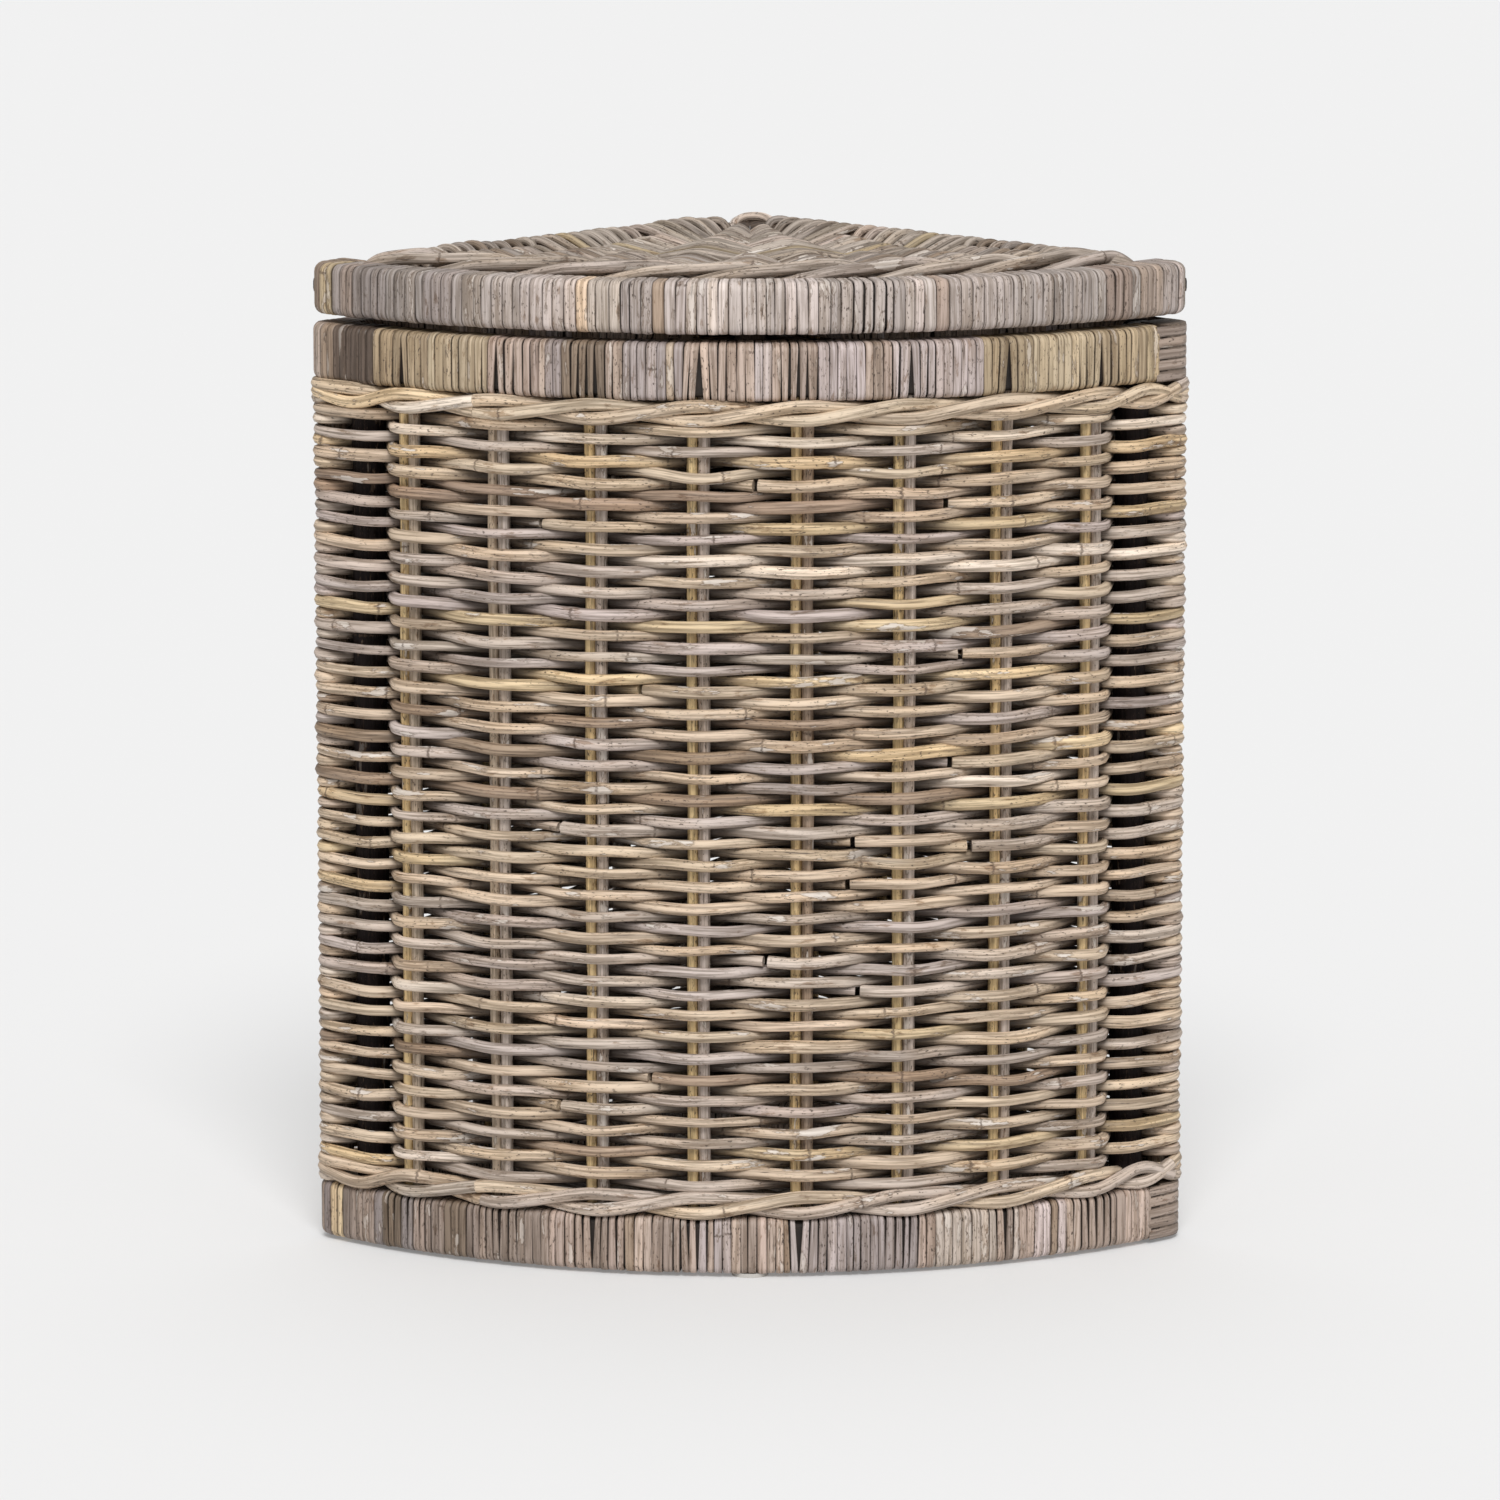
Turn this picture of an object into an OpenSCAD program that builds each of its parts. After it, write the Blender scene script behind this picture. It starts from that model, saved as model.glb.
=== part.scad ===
// Lidded rattan laundry basket for the corner of a room.
// Seen from above it is a quarter of a circle: the centre of the circle is the back corner,
// the two straight sides meet there, and the bow at the front is the arc.
// Frame: X across, -Y to the front, Z up, the origin on the floor under the middle of the basket.
//
// Places on a straight side are given as s, the distance along it from the sharp back corner,
// t, the distance inwards from the outer face of the rims, and the height z.

/* [Overall] */
// Height over the closed lid
height = 600; // [480:5:760]
// Radius of the quarter circle, from the sharp back corner to the front of the rims
plan_r = 378; // [345:1:460]
// Radius in plan of the two front corners and of the back corner
corner_r = 17; // [16:0.5:17]
// Thickness of the woven wall
wall_t = 17; // [17:0.5:18]
// Height of the glides under the base
glide_h = 2.5; // [1:0.5:5]

/* [Rims of the basket] */
// Width of a rim, from its outer to its inner face
rim_w = 24; // [22:0.5:28]
// Height of a rim
rim_h = 33.5; // [28:0.5:40]
// Radius of the long edges of a rim
rim_edge_r = 5; // [3:0.5:8]
// Thickness of the flat rattan peel bound round the rails
peel_t = 1.7; // [1:0.1:2.5]
// Height of the twisted band above the base rim
low_wale_h = 16; // [10:0.5:30]
// Height of the twisted band under the top rim
high_wale_h = 14.5; // [10:0.5:30]
// How far the twisted bands stand out from the rims
wale_out = 2.5; // [0.5:0.5:4]

/* [Upright stakes] */
// Diameter of a stake
stake_d = 6; // [4:0.5:6.5]
// Distance between the two stakes of a pair
pair_gap = 7; // [6.8:0.1:9]
// Pairs of stakes in the front
front_pairs = 8; // [6:1:10]
// Pairs of stakes in each straight side
side_pairs = 5; // [3:1:5]
// Distance between the pairs in a straight side
side_pitch = 60; // [52:1:62]
// Diameter of the posts beside the corners
post_d = 20; // [14:1:21]
// Diameter of the stake inside each rounded corner
corner_stake_d = 14; // [8:1:16]

/* [Lid] */
// Radius of the round poles along the straight sides of the lid
pole_r = 13.5; // [10:0.5:15]
// Radius over the rods wound round those poles
wrap_r = 20.3; // [17:0.1:22]
// Height of the bow at the front of the lid
bow_h = 30.4; // [26:0.2:36]
// Width of the bow, from its outer to its inner face
bow_w = 28; // [24:0.5:32]
// How far the lid stands in from the rims of the basket
lid_inset = 1; // [0.5:0.5:4]
// Thickness of a woven panel
panel_t = 17; // [14:0.5:18]
// Width of the twisted band inside the bow
lid_wale_w = 14; // [8:1:20]
// Clear height between the closed lid and the rims it rests on
rest_gap = 0.4; // [0.2:0.1:2]

/* [Hinge] */
// Radius of the two short canes that the lid turns on
cane_r = 4; // [3:0.5:5]
// How far the canes stand out from the rim
cane_out = 6.5; // [6:0.5:9]
// Width of one hinge loop
loop_w = 10; // [6:0.5:11]

/* [Hidden] */

fit = 0.15; // free space round a rod in its hole
skin_gap = 0.2; // free space between a rail and the peel bound round it
eps = 0.5; // how far a cut runs past the face it opens
rod_d = 5.5; // thickness of a rod of the weave
arc_steps = 8; // facets of a rounded corner in plan
edge_steps = 3; // facets of a rounded long edge
front_steps = 60; // facets of the front where a band runs all the way round

// Heights from the floor up
base_z0 = glide_h;
base_z1 = base_z0 + rim_h;
weave_z0 = base_z1 + low_wale_h;
lid_z = height - wrap_r;
top_z1 = lid_z - wrap_r - rest_gap;
top_z0 = top_z1 - rim_h;
weave_z1 = top_z0 - high_wale_h;
bow_z0 = lid_z - bow_h / 2;
bow_z1 = lid_z + bow_h / 2;
panel_z0 = height - panel_t;
spoke_z = height - panel_t / 2;
base_panel_z0 = base_z0 + 6; // the base panel is clear of the floor
base_spoke_z = base_panel_z0 + panel_t / 2;

// The rounded corners: centre of the corner circle, the angle from the side at which it meets
// the front arc, and the stake that the rods turn round
corner_s = sqrt(pow(plan_r - corner_r, 2) - pow(corner_r, 2));
tangent_a = asin(corner_r / (plan_r - corner_r));
stake_shift = (corner_r - corner_stake_d / 2 - rod_d) / sqrt(2);
rod_inset = wall_t / 2;

// The back corner: how far forward of the sharp corner the wall really begins, and its place in Y
back_cut = (corner_r * (sqrt(2) - 1)) - wale_out;
back_y = (plan_r + wale_out + back_cut) / 2;

// Rails stand inside the peel on all sides
rail_in = peel_t + skin_gap;

// Stakes and posts
stake_z0 = base_z0 + 10;
stake_z1 = top_z1 - 10;
front_post_t = rod_d + post_d / 2; // the front posts stand just inside the outermost rods
back_post_t = rim_w + post_d / 2 + fit; // the back post stands clear of the rims
side_s0 = 62; // from the back corner to the first pair of a side
front_span = 66.2; // degrees between the outermost pairs of the front
front_pitch = front_span / (front_pairs - 1);
front_post_a = front_span / 2 + 5.7; // degrees from the middle of the front to a front post

// Lid, in from the outer face of the rims
bow_t1 = lid_inset + bow_w;
pole_t = lid_inset + wrap_r;
lid_corner_edge = 13; // half of the bare length at the back corner of the lid
wale_r0 = plan_r - bow_t1 - lid_wale_w;
panel_r = wale_r0 - skin_gap;
spoke_r1 = plan_r - bow_t1 - skin_gap;
panel_edge = pole_t + 4.7; // the panel runs out over the rods round the poles
long_spokes = [-27, -9, 9, 27];
short_spokes = [-36, -18, 0, 18, 36];
base_hub_r = 70; // where the long spokes of the base begin
lid_hub_r = 40; // where the long spokes of the lid begin
short_spoke_r0 = 0.55 * plan_r;

// Hinge on the left side
hinge_z = top_z1 + rest_gap / 2;
loop_t = 1.8; // thickness of a hinge loop
cane_fit = 0.08; // running fit of a loop on a cane
loop_r = cane_r + cane_fit + loop_t;
hinge_half = 1.5 * loop_w + 3; // half of the length of one hinge
hinge_places = [side_s0 + side_pitch / 2, side_s0 + side_pitch * (side_pairs - 1.5)];

// ---- Frames and outlines ----

module on_left() {
  translate([0, back_y, 0]) rotate([0, 0, 225]) children();
}

module on_right() {
  mirror([1, 0, 0]) on_left() children();
}

module on_both() {
  on_left() children();
  on_right() children();
}

module around_back() {
  translate([0, back_y, 0]) rotate([0, 0, 270]) children();
}

// Distance along a side at which the inset t meets the arc of the same inset
function inner_s(t) = sqrt(pow(plan_r - t, 2) - pow(t, 2));

// Where a straight side as deep as t ends, and the angle from the side where the front ends
function side_end(t) = min(inner_s(t), corner_s);
function front_end(t) = max(asin(t / (plan_r - t)), tangent_a);

// Points of an arc about c
function arc(c, r, a0, a1, n) = [
  for (i = [0 : n]) let (a = a0 + (a1 - a0) * i / n) c + r * [cos(a), sin(a)]
];

// Outline of a front corner between the insets t0 and t1: it fills the space between the end
// of a straight side and the end of the front arc
function corner_points(t0, t1) =
  let (centre = [corner_s, corner_r], s1 = side_end(t1), a1 = front_end(t1))
  concat(
    t1 < corner_r ? arc(centre, corner_r - t1, tangent_a, -90, arc_steps) : [[s1, t1]],
    s1 < corner_s ? [[s1, t0]] : [],
    arc(centre, corner_r - t0, -90, tangent_a, arc_steps),
    a1 > tangent_a ? arc([0, 0], plan_r - t0, (tangent_a + a1) / 2, a1, 1) : []
  );

// Outline of the back corner between the same insets
function back_points(t0, t1) = concat(
  [[t1, t1], [t0, t1]],
  arc([corner_r, corner_r], corner_r - t0, 180, 270, arc_steps),
  [[t1, t0]]
);

// A rounded corner about c, or the point c itself where nothing is left of the radius
function turn(c, r, a0, a1) = r < 0.01 ? [c] : arc(c, r, a0, a1, arc_steps);

// Outline of the whole plan at the inset t, seen from the back corner towards the front
function plan_points(t) =
  let (r = corner_r - t, front_a = 45 - tangent_a)
  let (centre = (plan_r - corner_r) * [cos(front_a), sin(front_a)])
  concat(
    [
      for (i = [1 : front_steps - 1])
        let (a = front_a * (2 * i / front_steps - 1)) (plan_r - t) * [cos(a), sin(a)]
    ],
    turn(centre, r, front_a, 135),
    turn([corner_r * sqrt(2), 0], r, 135, 225),
    turn([centre[0], -centre[1]], r, -135, -front_a)
  );

// Rounded rectangle from t0 to t1 and z0 to z1
function section(t0, t1, z0, z1, r) = concat(
  arc([t1 - r, z0 + r], r, -90, 0, edge_steps),
  arc([t1 - r, z1 - r], r, 0, 90, edge_steps),
  arc([t0 + r, z1 - r], r, 90, 180, edge_steps),
  arc([t0 + r, z0 + r], r, 180, 270, edge_steps)
);

// A section, given as t and z, swept along a straight side from s0 to s1
module bar(s0, s1) {
  translate([s0, 0, 0]) rotate([90, 0, 90]) linear_extrude(s1 - s0) children();
}

// A section, given as t and z, swept round the front up to half_angle each way
module bow(half_angle) {
  around_back() rotate([0, 0, -half_angle]) rotate_extrude(angle = 2 * half_angle, $fn = 180)
    translate([plan_r, 0]) mirror([1, 0]) children();
}

module slab(t0, t1, z0, z1) {
  translate([t0, z0]) square([t1 - t0, z1 - z0]);
}

module corner_block(t0, t1, z0, z1) {
  translate([0, 0, z0]) linear_extrude(z1 - z0) polygon(corner_points(t0, t1));
}

module back_block(t0, t1, z0, z1) {
  on_left() translate([0, 0, z0]) linear_extrude(z1 - z0) polygon(back_points(t0, t1));
}

// A round rod along a straight side at t, z
module side_rod(s0, s1, t, z, r) {
  translate([s0, t, z]) rotate([0, 90, 0]) cylinder(h = s1 - s0, r = r, $fn = 48);
}

// An upright rod
module upright(x, y, z0, z1, r) {
  translate([x, y, z0]) cylinder(h = z1 - z0, r = r, $fn = 32);
}

// ---- Places of the upright rods; grow widens them into their holes ----

module front_rods(z0, z1, grow) {
  r = plan_r - rod_inset;
  turn = asin(pair_gap / 2 / r);
  around_back() for (i = [0 : front_pairs - 1], side = [-1, 1])
    rotate([0, 0, -front_span / 2 + front_pitch * i + side * turn])
      upright(r, 0, z0, z1, stake_d / 2 + grow);
}

module side_rods(z0, z1, grow) {
  for (i = [0 : side_pairs - 1], side = [-1, 1])
    upright(side_s0 + side_pitch * i + side * pair_gap / 2, rod_inset, z0, z1, stake_d / 2 + grow);
}

module corner_rod(z0, z1, grow) {
  upright(corner_s + stake_shift, corner_r - stake_shift, z0, z1, corner_stake_d / 2 + grow);
}

module back_rod(z0, z1, grow) {
  on_left() upright(corner_r - stake_shift, corner_r - stake_shift, z0, z1, corner_stake_d / 2 + grow);
}

// A thick post in the front wall beside a corner
module front_post(side, z0, z1, grow) {
  around_back() rotate([0, 0, side * front_post_a])
    upright(plan_r - front_post_t, 0, z0, z1, post_d / 2 + grow);
}

// Everything upright that stands in the front
module front_holes(z0, z1) {
  front_rods(z0, z1, fit);
  for (side = [-1, 1]) front_post(side, z0, z1, fit);
}

// All the holes for stakes between two heights
module stake_holes(z0, z1) {
  front_holes(z0, z1);
  on_both() side_rods(z0, z1, fit);
  on_both() corner_rod(z0, z1, fit);
  back_rod(z0, z1, fit);
}

// ---- Rims of the basket ----

module rail_section(z0, z1) {
  polygon(section(rail_in, rim_w - rail_in, z0 + rail_in, z1 - rail_in, rim_edge_r - rail_in));
}

module binding_section(z0, z1) {
  difference() {
    polygon(section(0, rim_w, z0, z1, rim_edge_r));
    polygon(section(peel_t, rim_w - peel_t, z0 + peel_t, z1 - peel_t, rim_edge_r - peel_t));
  }
}

module front_rail(z0, z1) {
  difference() {
    bow(45 - front_end(rim_w)) rail_section(z0, z1);
    front_holes(stake_z0, stake_z1);
  }
}

module side_rail(z0, z1) {
  difference() {
    bar(rim_w, side_end(rim_w)) rail_section(z0, z1);
    side_rods(stake_z0, stake_z1, fit);
  }
}

module front_binding(z0, z1) {
  difference() {
    bow(45 - front_end(rim_w)) binding_section(z0, z1);
    front_holes(stake_z0, stake_z1);
  }
}

module side_binding(z0, z1) {
  difference() {
    bar(rim_w, side_end(rim_w)) binding_section(z0, z1);
    side_rods(stake_z0, stake_z1, fit);
  }
}

// A front corner of a rim, bound over, with the corner stake in it
module bound_corner(z0, z1) {
  difference() {
    corner_block(0, rim_w, z0, z1);
    corner_rod(stake_z0, stake_z1, fit);
  }
}

// A front corner of a rim left unbound: flat strips of peel one above the other
module bare_corner(z0, z1) {
  strips = 5;
  pitch = (z1 - z0) / strips;
  difference() {
    for (i = [0 : strips - 1])
      corner_block(0, rim_w, z0 + i * pitch, z0 + (i + 1) * pitch - (i < strips - 1 ? skin_gap : 0));
    corner_rod(stake_z0, stake_z1, fit);
  }
}

module back_corner(z0, z1) {
  difference() {
    back_block(0, rim_w, z0, z1);
    back_rod(stake_z0, stake_z1, fit);
  }
}

module glides() {
  glide_r = 11;
  color("gainsboro") {
    around_back() upright(plan_r - rim_w / 2, 0, 0, glide_h, glide_r);
    on_both() upright(inner_s(rim_w) - 25, rim_w / 2, 0, glide_h, glide_r);
    on_both() upright(rim_w + 16, rim_w / 2, 0, glide_h, glide_r);
  }
}

module base_front_rail() color("peru") front_rail(base_z0, base_z1);
module base_left_rail() color("peru") on_left() side_rail(base_z0, base_z1);
module base_right_rail() color("peru") on_right() side_rail(base_z0, base_z1);
module base_front_binding() color("rosybrown") front_binding(base_z0, base_z1);
module base_left_binding() color("rosybrown") on_left() side_binding(base_z0, base_z1);
module base_right_binding() color("rosybrown") on_right() side_binding(base_z0, base_z1);
module base_left_corner() color("rosybrown") on_left() bound_corner(base_z0, base_z1);
module base_right_corner() color("tan") on_right() bare_corner(base_z0, base_z1);
module base_back_corner() color("rosybrown") back_corner(base_z0, base_z1);

module top_front_rail() color("peru") front_rail(top_z0, top_z1);
module top_left_rail() color("peru") on_left() side_rail(top_z0, top_z1);
module top_right_rail() color("peru") on_right() side_rail(top_z0, top_z1);
module top_front_binding() color("rosybrown") front_binding(top_z0, top_z1);
module top_left_binding() color("rosybrown") on_left() side_binding(top_z0, top_z1);
module top_right_binding() color("rosybrown") on_right() side_binding(top_z0, top_z1);
module top_left_corner() color("rosybrown") on_left() bound_corner(top_z0, top_z1);
module top_right_corner() color("tan") on_right() bare_corner(top_z0, top_z1);
module top_back_corner() color("rosybrown") back_corner(top_z0, top_z1);

// ---- Base panel ----

// Spokes from the back corner at the angles given, between two radii
module spokes(angles, r0, r1, z, grow) {
  around_back() for (a = angles)
    rotate([0, 0, a]) translate([r0, 0, z]) rotate([0, 90, 0])
      cylinder(h = r1 - r0, r = stake_d / 2 + grow, $fn = 32);
}

// A sector of the quarter circle, in from both sides by t and out to the radius r
module sector(t, r, z0, z1) {
  far = 2 * plan_r;
  intersection() {
    around_back() upright_disc(r, z0, z1);
    translate([0, 0, z0]) linear_extrude(z1 - z0) translate([0, back_y]) rotate(225)
      polygon([[t, t], [far, t], [far, far], [t, far]]);
  }
}

module upright_disc(r, z0, z1) {
  translate([0, 0, z0]) cylinder(h = z1 - z0, r = r, $fn = 180);
}

module base_spokes() {
  color("burlywood") difference() {
    union() {
      spokes(long_spokes, base_hub_r, plan_r - rim_w - skin_gap, base_spoke_z, 0);
      spokes(short_spokes, short_spoke_r0, plan_r - rim_w - skin_gap, base_spoke_z, 0);
    }
    on_both() bar(0, plan_r) slab(0, rim_w + skin_gap, 0, base_z1);
  }
}

module base_panel() {
  color("tan") difference() {
    sector(rim_w + skin_gap, plan_r - rim_w - skin_gap, base_panel_z0, base_panel_z0 + panel_t);
    spokes(long_spokes, base_hub_r, plan_r, base_spoke_z, fit);
    spokes(short_spokes, short_spoke_r0, plan_r, base_spoke_z, fit);
    front_holes(base_z0, base_z1);
  }
}

// ---- Posts, stakes and woven wall ----

module left_post() color("saddlebrown") front_post(-1, stake_z0, stake_z1, 0);
module right_post() color("saddlebrown") front_post(1, stake_z0, stake_z1, 0);
module back_post() {
  color("saddlebrown") on_left()
    upright(back_post_t, back_post_t, base_panel_z0 + panel_t, top_z1 - 2, post_d / 2);
}

module left_corner_stake() color("burlywood") on_left() corner_rod(stake_z0, stake_z1, 0);
module right_corner_stake() color("burlywood") on_right() corner_rod(stake_z0, stake_z1, 0);
module back_corner_stake() color("burlywood") back_rod(stake_z0, stake_z1, 0);

module front_stakes() color("burlywood") front_rods(stake_z0, stake_z1, 0);
module left_stakes() color("burlywood") on_left() side_rods(stake_z0, stake_z1, 0);
module right_stakes() color("burlywood") on_right() side_rods(stake_z0, stake_z1, 0);

// A closed ring of the plan between two insets and two heights
module ring(t0, t1, z0, z1) {
  around_back() translate([0, 0, z0]) linear_extrude(z1 - z0) difference() {
    polygon(plan_points(t0));
    polygon(plan_points(t1));
  }
}

module low_wale() {
  color("tan") difference() {
    ring(-wale_out, wall_t, base_z1, weave_z0);
    stake_holes(base_z1 - eps, weave_z0 + eps);
  }
}

module high_wale() {
  color("tan") difference() {
    ring(-wale_out, wall_t, weave_z1, top_z0);
    stake_holes(weave_z1 - eps, top_z0 + eps);
    on_left() for (s = body_loop_places()) loop_room(s);
  }
}

module front_weave() {
  color("wheat") difference() {
    bow(45 - front_end(wall_t)) slab(0, wall_t, weave_z0, weave_z1);
    front_holes(weave_z0 - eps, weave_z1 + eps);
    on_both() corner_rod(weave_z0 - eps, weave_z1 + eps, fit);
  }
}

// The weave round a front corner, between the front and a straight side
module corner_weave() {
  difference() {
    corner_block(0, wall_t, weave_z0, weave_z1);
    corner_rod(weave_z0 - eps, weave_z1 + eps, fit);
  }
}

module left_corner_weave() color("wheat") on_left() corner_weave();
module right_corner_weave() color("wheat") on_right() corner_weave();

module side_weave() {
  difference() {
    bar(wall_t, side_end(wall_t)) slab(0, wall_t, weave_z0, weave_z1);
    side_rods(weave_z0 - eps, weave_z1 + eps, fit);
    corner_rod(weave_z0 - eps, weave_z1 + eps, fit);
  }
}

module left_weave() {
  color("wheat") difference() {
    union() {
      on_left() side_weave();
      back_block(0, wall_t, weave_z0, weave_z1);
    }
    back_rod(weave_z0 - eps, weave_z1 + eps, fit);
  }
}

module right_weave() {
  color("wheat") difference() {
    on_right() side_weave();
    back_rod(weave_z0 - eps, weave_z1 + eps, fit);
  }
}

// ---- Hinge: two short canes held beside the rim, and loops that turn on them ----

function body_loop_places() = [
  for (s = hinge_places, side = [-1, 1]) s + side * (loop_w + 1)
];

module hinge_canes() {
  color("sienna") on_left() for (s = hinge_places)
    side_rod(s - hinge_half, s + hinge_half, -cane_out, hinge_z, cane_r);
}

// The hole for a cane through a loop
module cane_bore(s) {
  side_rod(s - loop_w, s + loop_w, -cane_out, hinge_z, cane_r + cane_fit);
}

// The space that the lower run of a loop takes in the band under the rim
module loop_room(s) {
  bar(s - loop_w / 2 - fit, s + loop_w / 2 + fit)
    slab(-wale_out - eps, rim_w, top_z0 - loop_t - fit, top_z0 + eps);
}

// A loop round the rim and a cane
module body_hinge_loops() {
  color("saddlebrown") on_left() for (s = body_loop_places())
    difference() {
      union() {
        side_rod(s - loop_w / 2, s + loop_w / 2, -cane_out, hinge_z, loop_r);
        bar(s - loop_w / 2, s + loop_w / 2) polygon([
          [-cane_out - loop_r + 1.2, hinge_z - 3],
          [-loop_t, top_z0 + rim_h / 2],
          [-loop_t, top_z0 - loop_t],
          [rim_w + loop_t, top_z0 - loop_t],
          [rim_w + loop_t, top_z1 + loop_t],
          [-cane_out, top_z1 + loop_t],
        ]);
      }
      bar(s - loop_w, s + loop_w) slab(-0.1, rim_w + 0.1, top_z0 - 0.05, top_z1 + 0.05);
      cane_bore(s);
    }
}

// A loop round a cane and the bare pole of the lid
module lid_hinge_loops() {
  reach = [pole_t + cane_out, lid_z - hinge_z];
  color("saddlebrown") on_left() for (s = hinge_places)
    difference() {
      union() {
        side_rod(s - loop_w / 2, s + loop_w / 2, -cane_out, hinge_z, loop_r);
        side_rod(s - loop_w / 2, s + loop_w / 2, pole_t, lid_z, pole_r + loop_t);
        bar(s - loop_w / 2, s + loop_w / 2) translate([-cane_out, hinge_z])
          rotate(atan2(reach[1], reach[0])) translate([0, -2]) square([norm(reach), 4]);
      }
      cane_bore(s);
      side_rod(s - loop_w, s + loop_w, pole_t, lid_z, pole_r + 0.05);
    }
}

// ---- Lid ----

module lid_front_rail() {
  color("peru") bow(45 - front_end(bow_t1))
    polygon(section(lid_inset + rail_in, bow_t1 - rail_in, bow_z0 + rail_in, bow_z1 - rail_in, 5));
}

module lid_front_binding() {
  color("rosybrown") bow(45 - front_end(bow_t1)) difference() {
    polygon(section(lid_inset, bow_t1, bow_z0, bow_z1, 5 + rail_in));
    polygon(section(lid_inset + peel_t, bow_t1 - peel_t, bow_z0 + peel_t, bow_z1 - peel_t, 5 + skin_gap));
  }
}

module lid_end() {
  corner_block(lid_inset, bow_t1, bow_z0, bow_z1);
}

module lid_left_corner() color("rosybrown") on_left() lid_end();
module lid_right_corner() color("rosybrown") on_right() lid_end();

// A strap round each front corner of the lid
module lid_corner_straps() {
  strap_z = lid_z + 1.2;
  outside = concat([[corner_s - 15, -0.7]], arc([corner_s, corner_r], corner_r + 0.7, -90, -20, arc_steps));
  inside = concat([[corner_s - 15, 0.9]], arc([corner_s, corner_r], corner_r - 0.9, -90, -20, arc_steps));
  count = len(inside);
  color("tan") on_both() translate([0, 0, strap_z - 4]) linear_extrude(8)
    polygon(concat(outside, [for (i = [0 : count - 1]) inside[count - 1 - i]]));
}

// Everything on one side of the middle of the basket, at least gap away from it
module left_half(gap) {
  size = 3 * plan_r;
  intersection() {
    children();
    translate([-size - gap, -size / 2, 0]) cube([size, size, height + size]);
  }
}

// The round pole along the left side; the two poles meet in a mitre at the back corner
module lid_pole() {
  left_half(0.05) on_left() side_rod(0, inner_s(bow_t1) - skin_gap, pole_t, lid_z, pole_r);
}

// The rods wound round a pole, left out where the hinge loops go
module pole_wrap(gaps) {
  wrap_end = inner_s(bow_t1) - 2;
  left_half(lid_corner_edge) on_left() difference() {
    side_rod(0, wrap_end, pole_t, lid_z, wrap_r);
    side_rod(-1, wrap_end + 1, pole_t, lid_z, pole_r + fit);
    for (s = gaps)
      bar(s - hinge_half, s + hinge_half) slab(0, 3 * wrap_r, lid_z - 2 * wrap_r, lid_z + 2 * wrap_r);
  }
}

// Room for the wound poles in what lies between them
module pole_room() {
  on_both() side_rod(-eps, plan_r, pole_t, lid_z, wrap_r + fit);
}

module lid_left_pole() color("peru") lid_pole();
module lid_right_pole() color("peru") mirror([1, 0, 0]) lid_pole();
module lid_left_wrap() color("wheat") pole_wrap(hinge_places);
module lid_right_wrap() color("wheat") mirror([1, 0, 0]) pole_wrap([]);

module lid_long_spokes() {
  color("burlywood") difference() {
    spokes(long_spokes, lid_hub_r, spoke_r1, spoke_z, 0);
    pole_room();
  }
}

module lid_short_spokes() {
  color("burlywood") difference() {
    spokes(short_spokes, short_spoke_r0, spoke_r1, spoke_z, 0);
    pole_room();
  }
}

module lid_panel() {
  color("wheat") difference() {
    sector(panel_edge, panel_r, panel_z0, height);
    pole_room();
    spokes(long_spokes, lid_hub_r, plan_r, spoke_z, fit);
    spokes(short_spokes, short_spoke_r0, plan_r, spoke_z, fit);
  }
}

// The twisted band between the panel and the bow
module lid_wale() {
  half_angle = 45 - asin((pole_t + wrap_r + 1) / wale_r0);
  color("tan") difference() {
    around_back() rotate([0, 0, -half_angle]) rotate_extrude(angle = 2 * half_angle, $fn = 180)
      translate([wale_r0, height - lid_wale_w]) square([lid_wale_w - skin_gap, lid_wale_w]);
    spokes(long_spokes, lid_hub_r, plan_r, spoke_z, fit);
    spokes(short_spokes, short_spoke_r0, plan_r, spoke_z, fit);
  }
}

// A rod bent over the mitre at the back corner
module lid_back_loop() {
  bend = 10;
  rod_r = 3;
  color("tan") translate([0, back_y - 26, height - rod_r])
    rotate_extrude(angle = 180, $fn = 48) translate([bend, 0]) circle(r = rod_r, $fn = 24);
}

// ---- The part ----

glides();
base_front_rail();
base_left_rail();
base_right_rail();
base_front_binding();
base_left_binding();
base_right_binding();
base_left_corner();
base_right_corner();
base_back_corner();
base_spokes();
base_panel();
left_post();
right_post();
back_post();
left_corner_stake();
right_corner_stake();
back_corner_stake();
front_stakes();
left_stakes();
right_stakes();
low_wale();
front_weave();
left_weave();
right_weave();
left_corner_weave();
right_corner_weave();
high_wale();
top_front_rail();
top_left_rail();
top_right_rail();
top_front_binding();
top_left_binding();
top_right_binding();
top_left_corner();
top_right_corner();
top_back_corner();
hinge_canes();
body_hinge_loops();
lid_front_rail();
lid_left_pole();
lid_right_pole();
lid_front_binding();
lid_left_wrap();
lid_right_wrap();
lid_left_corner();
lid_right_corner();
lid_corner_straps();
lid_long_spokes();
lid_short_spokes();
lid_panel();
lid_wale();
lid_back_loop();
lid_hinge_loops();
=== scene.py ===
"""The looks of a woven corner laundry basket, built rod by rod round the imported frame."""

import math

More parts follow.
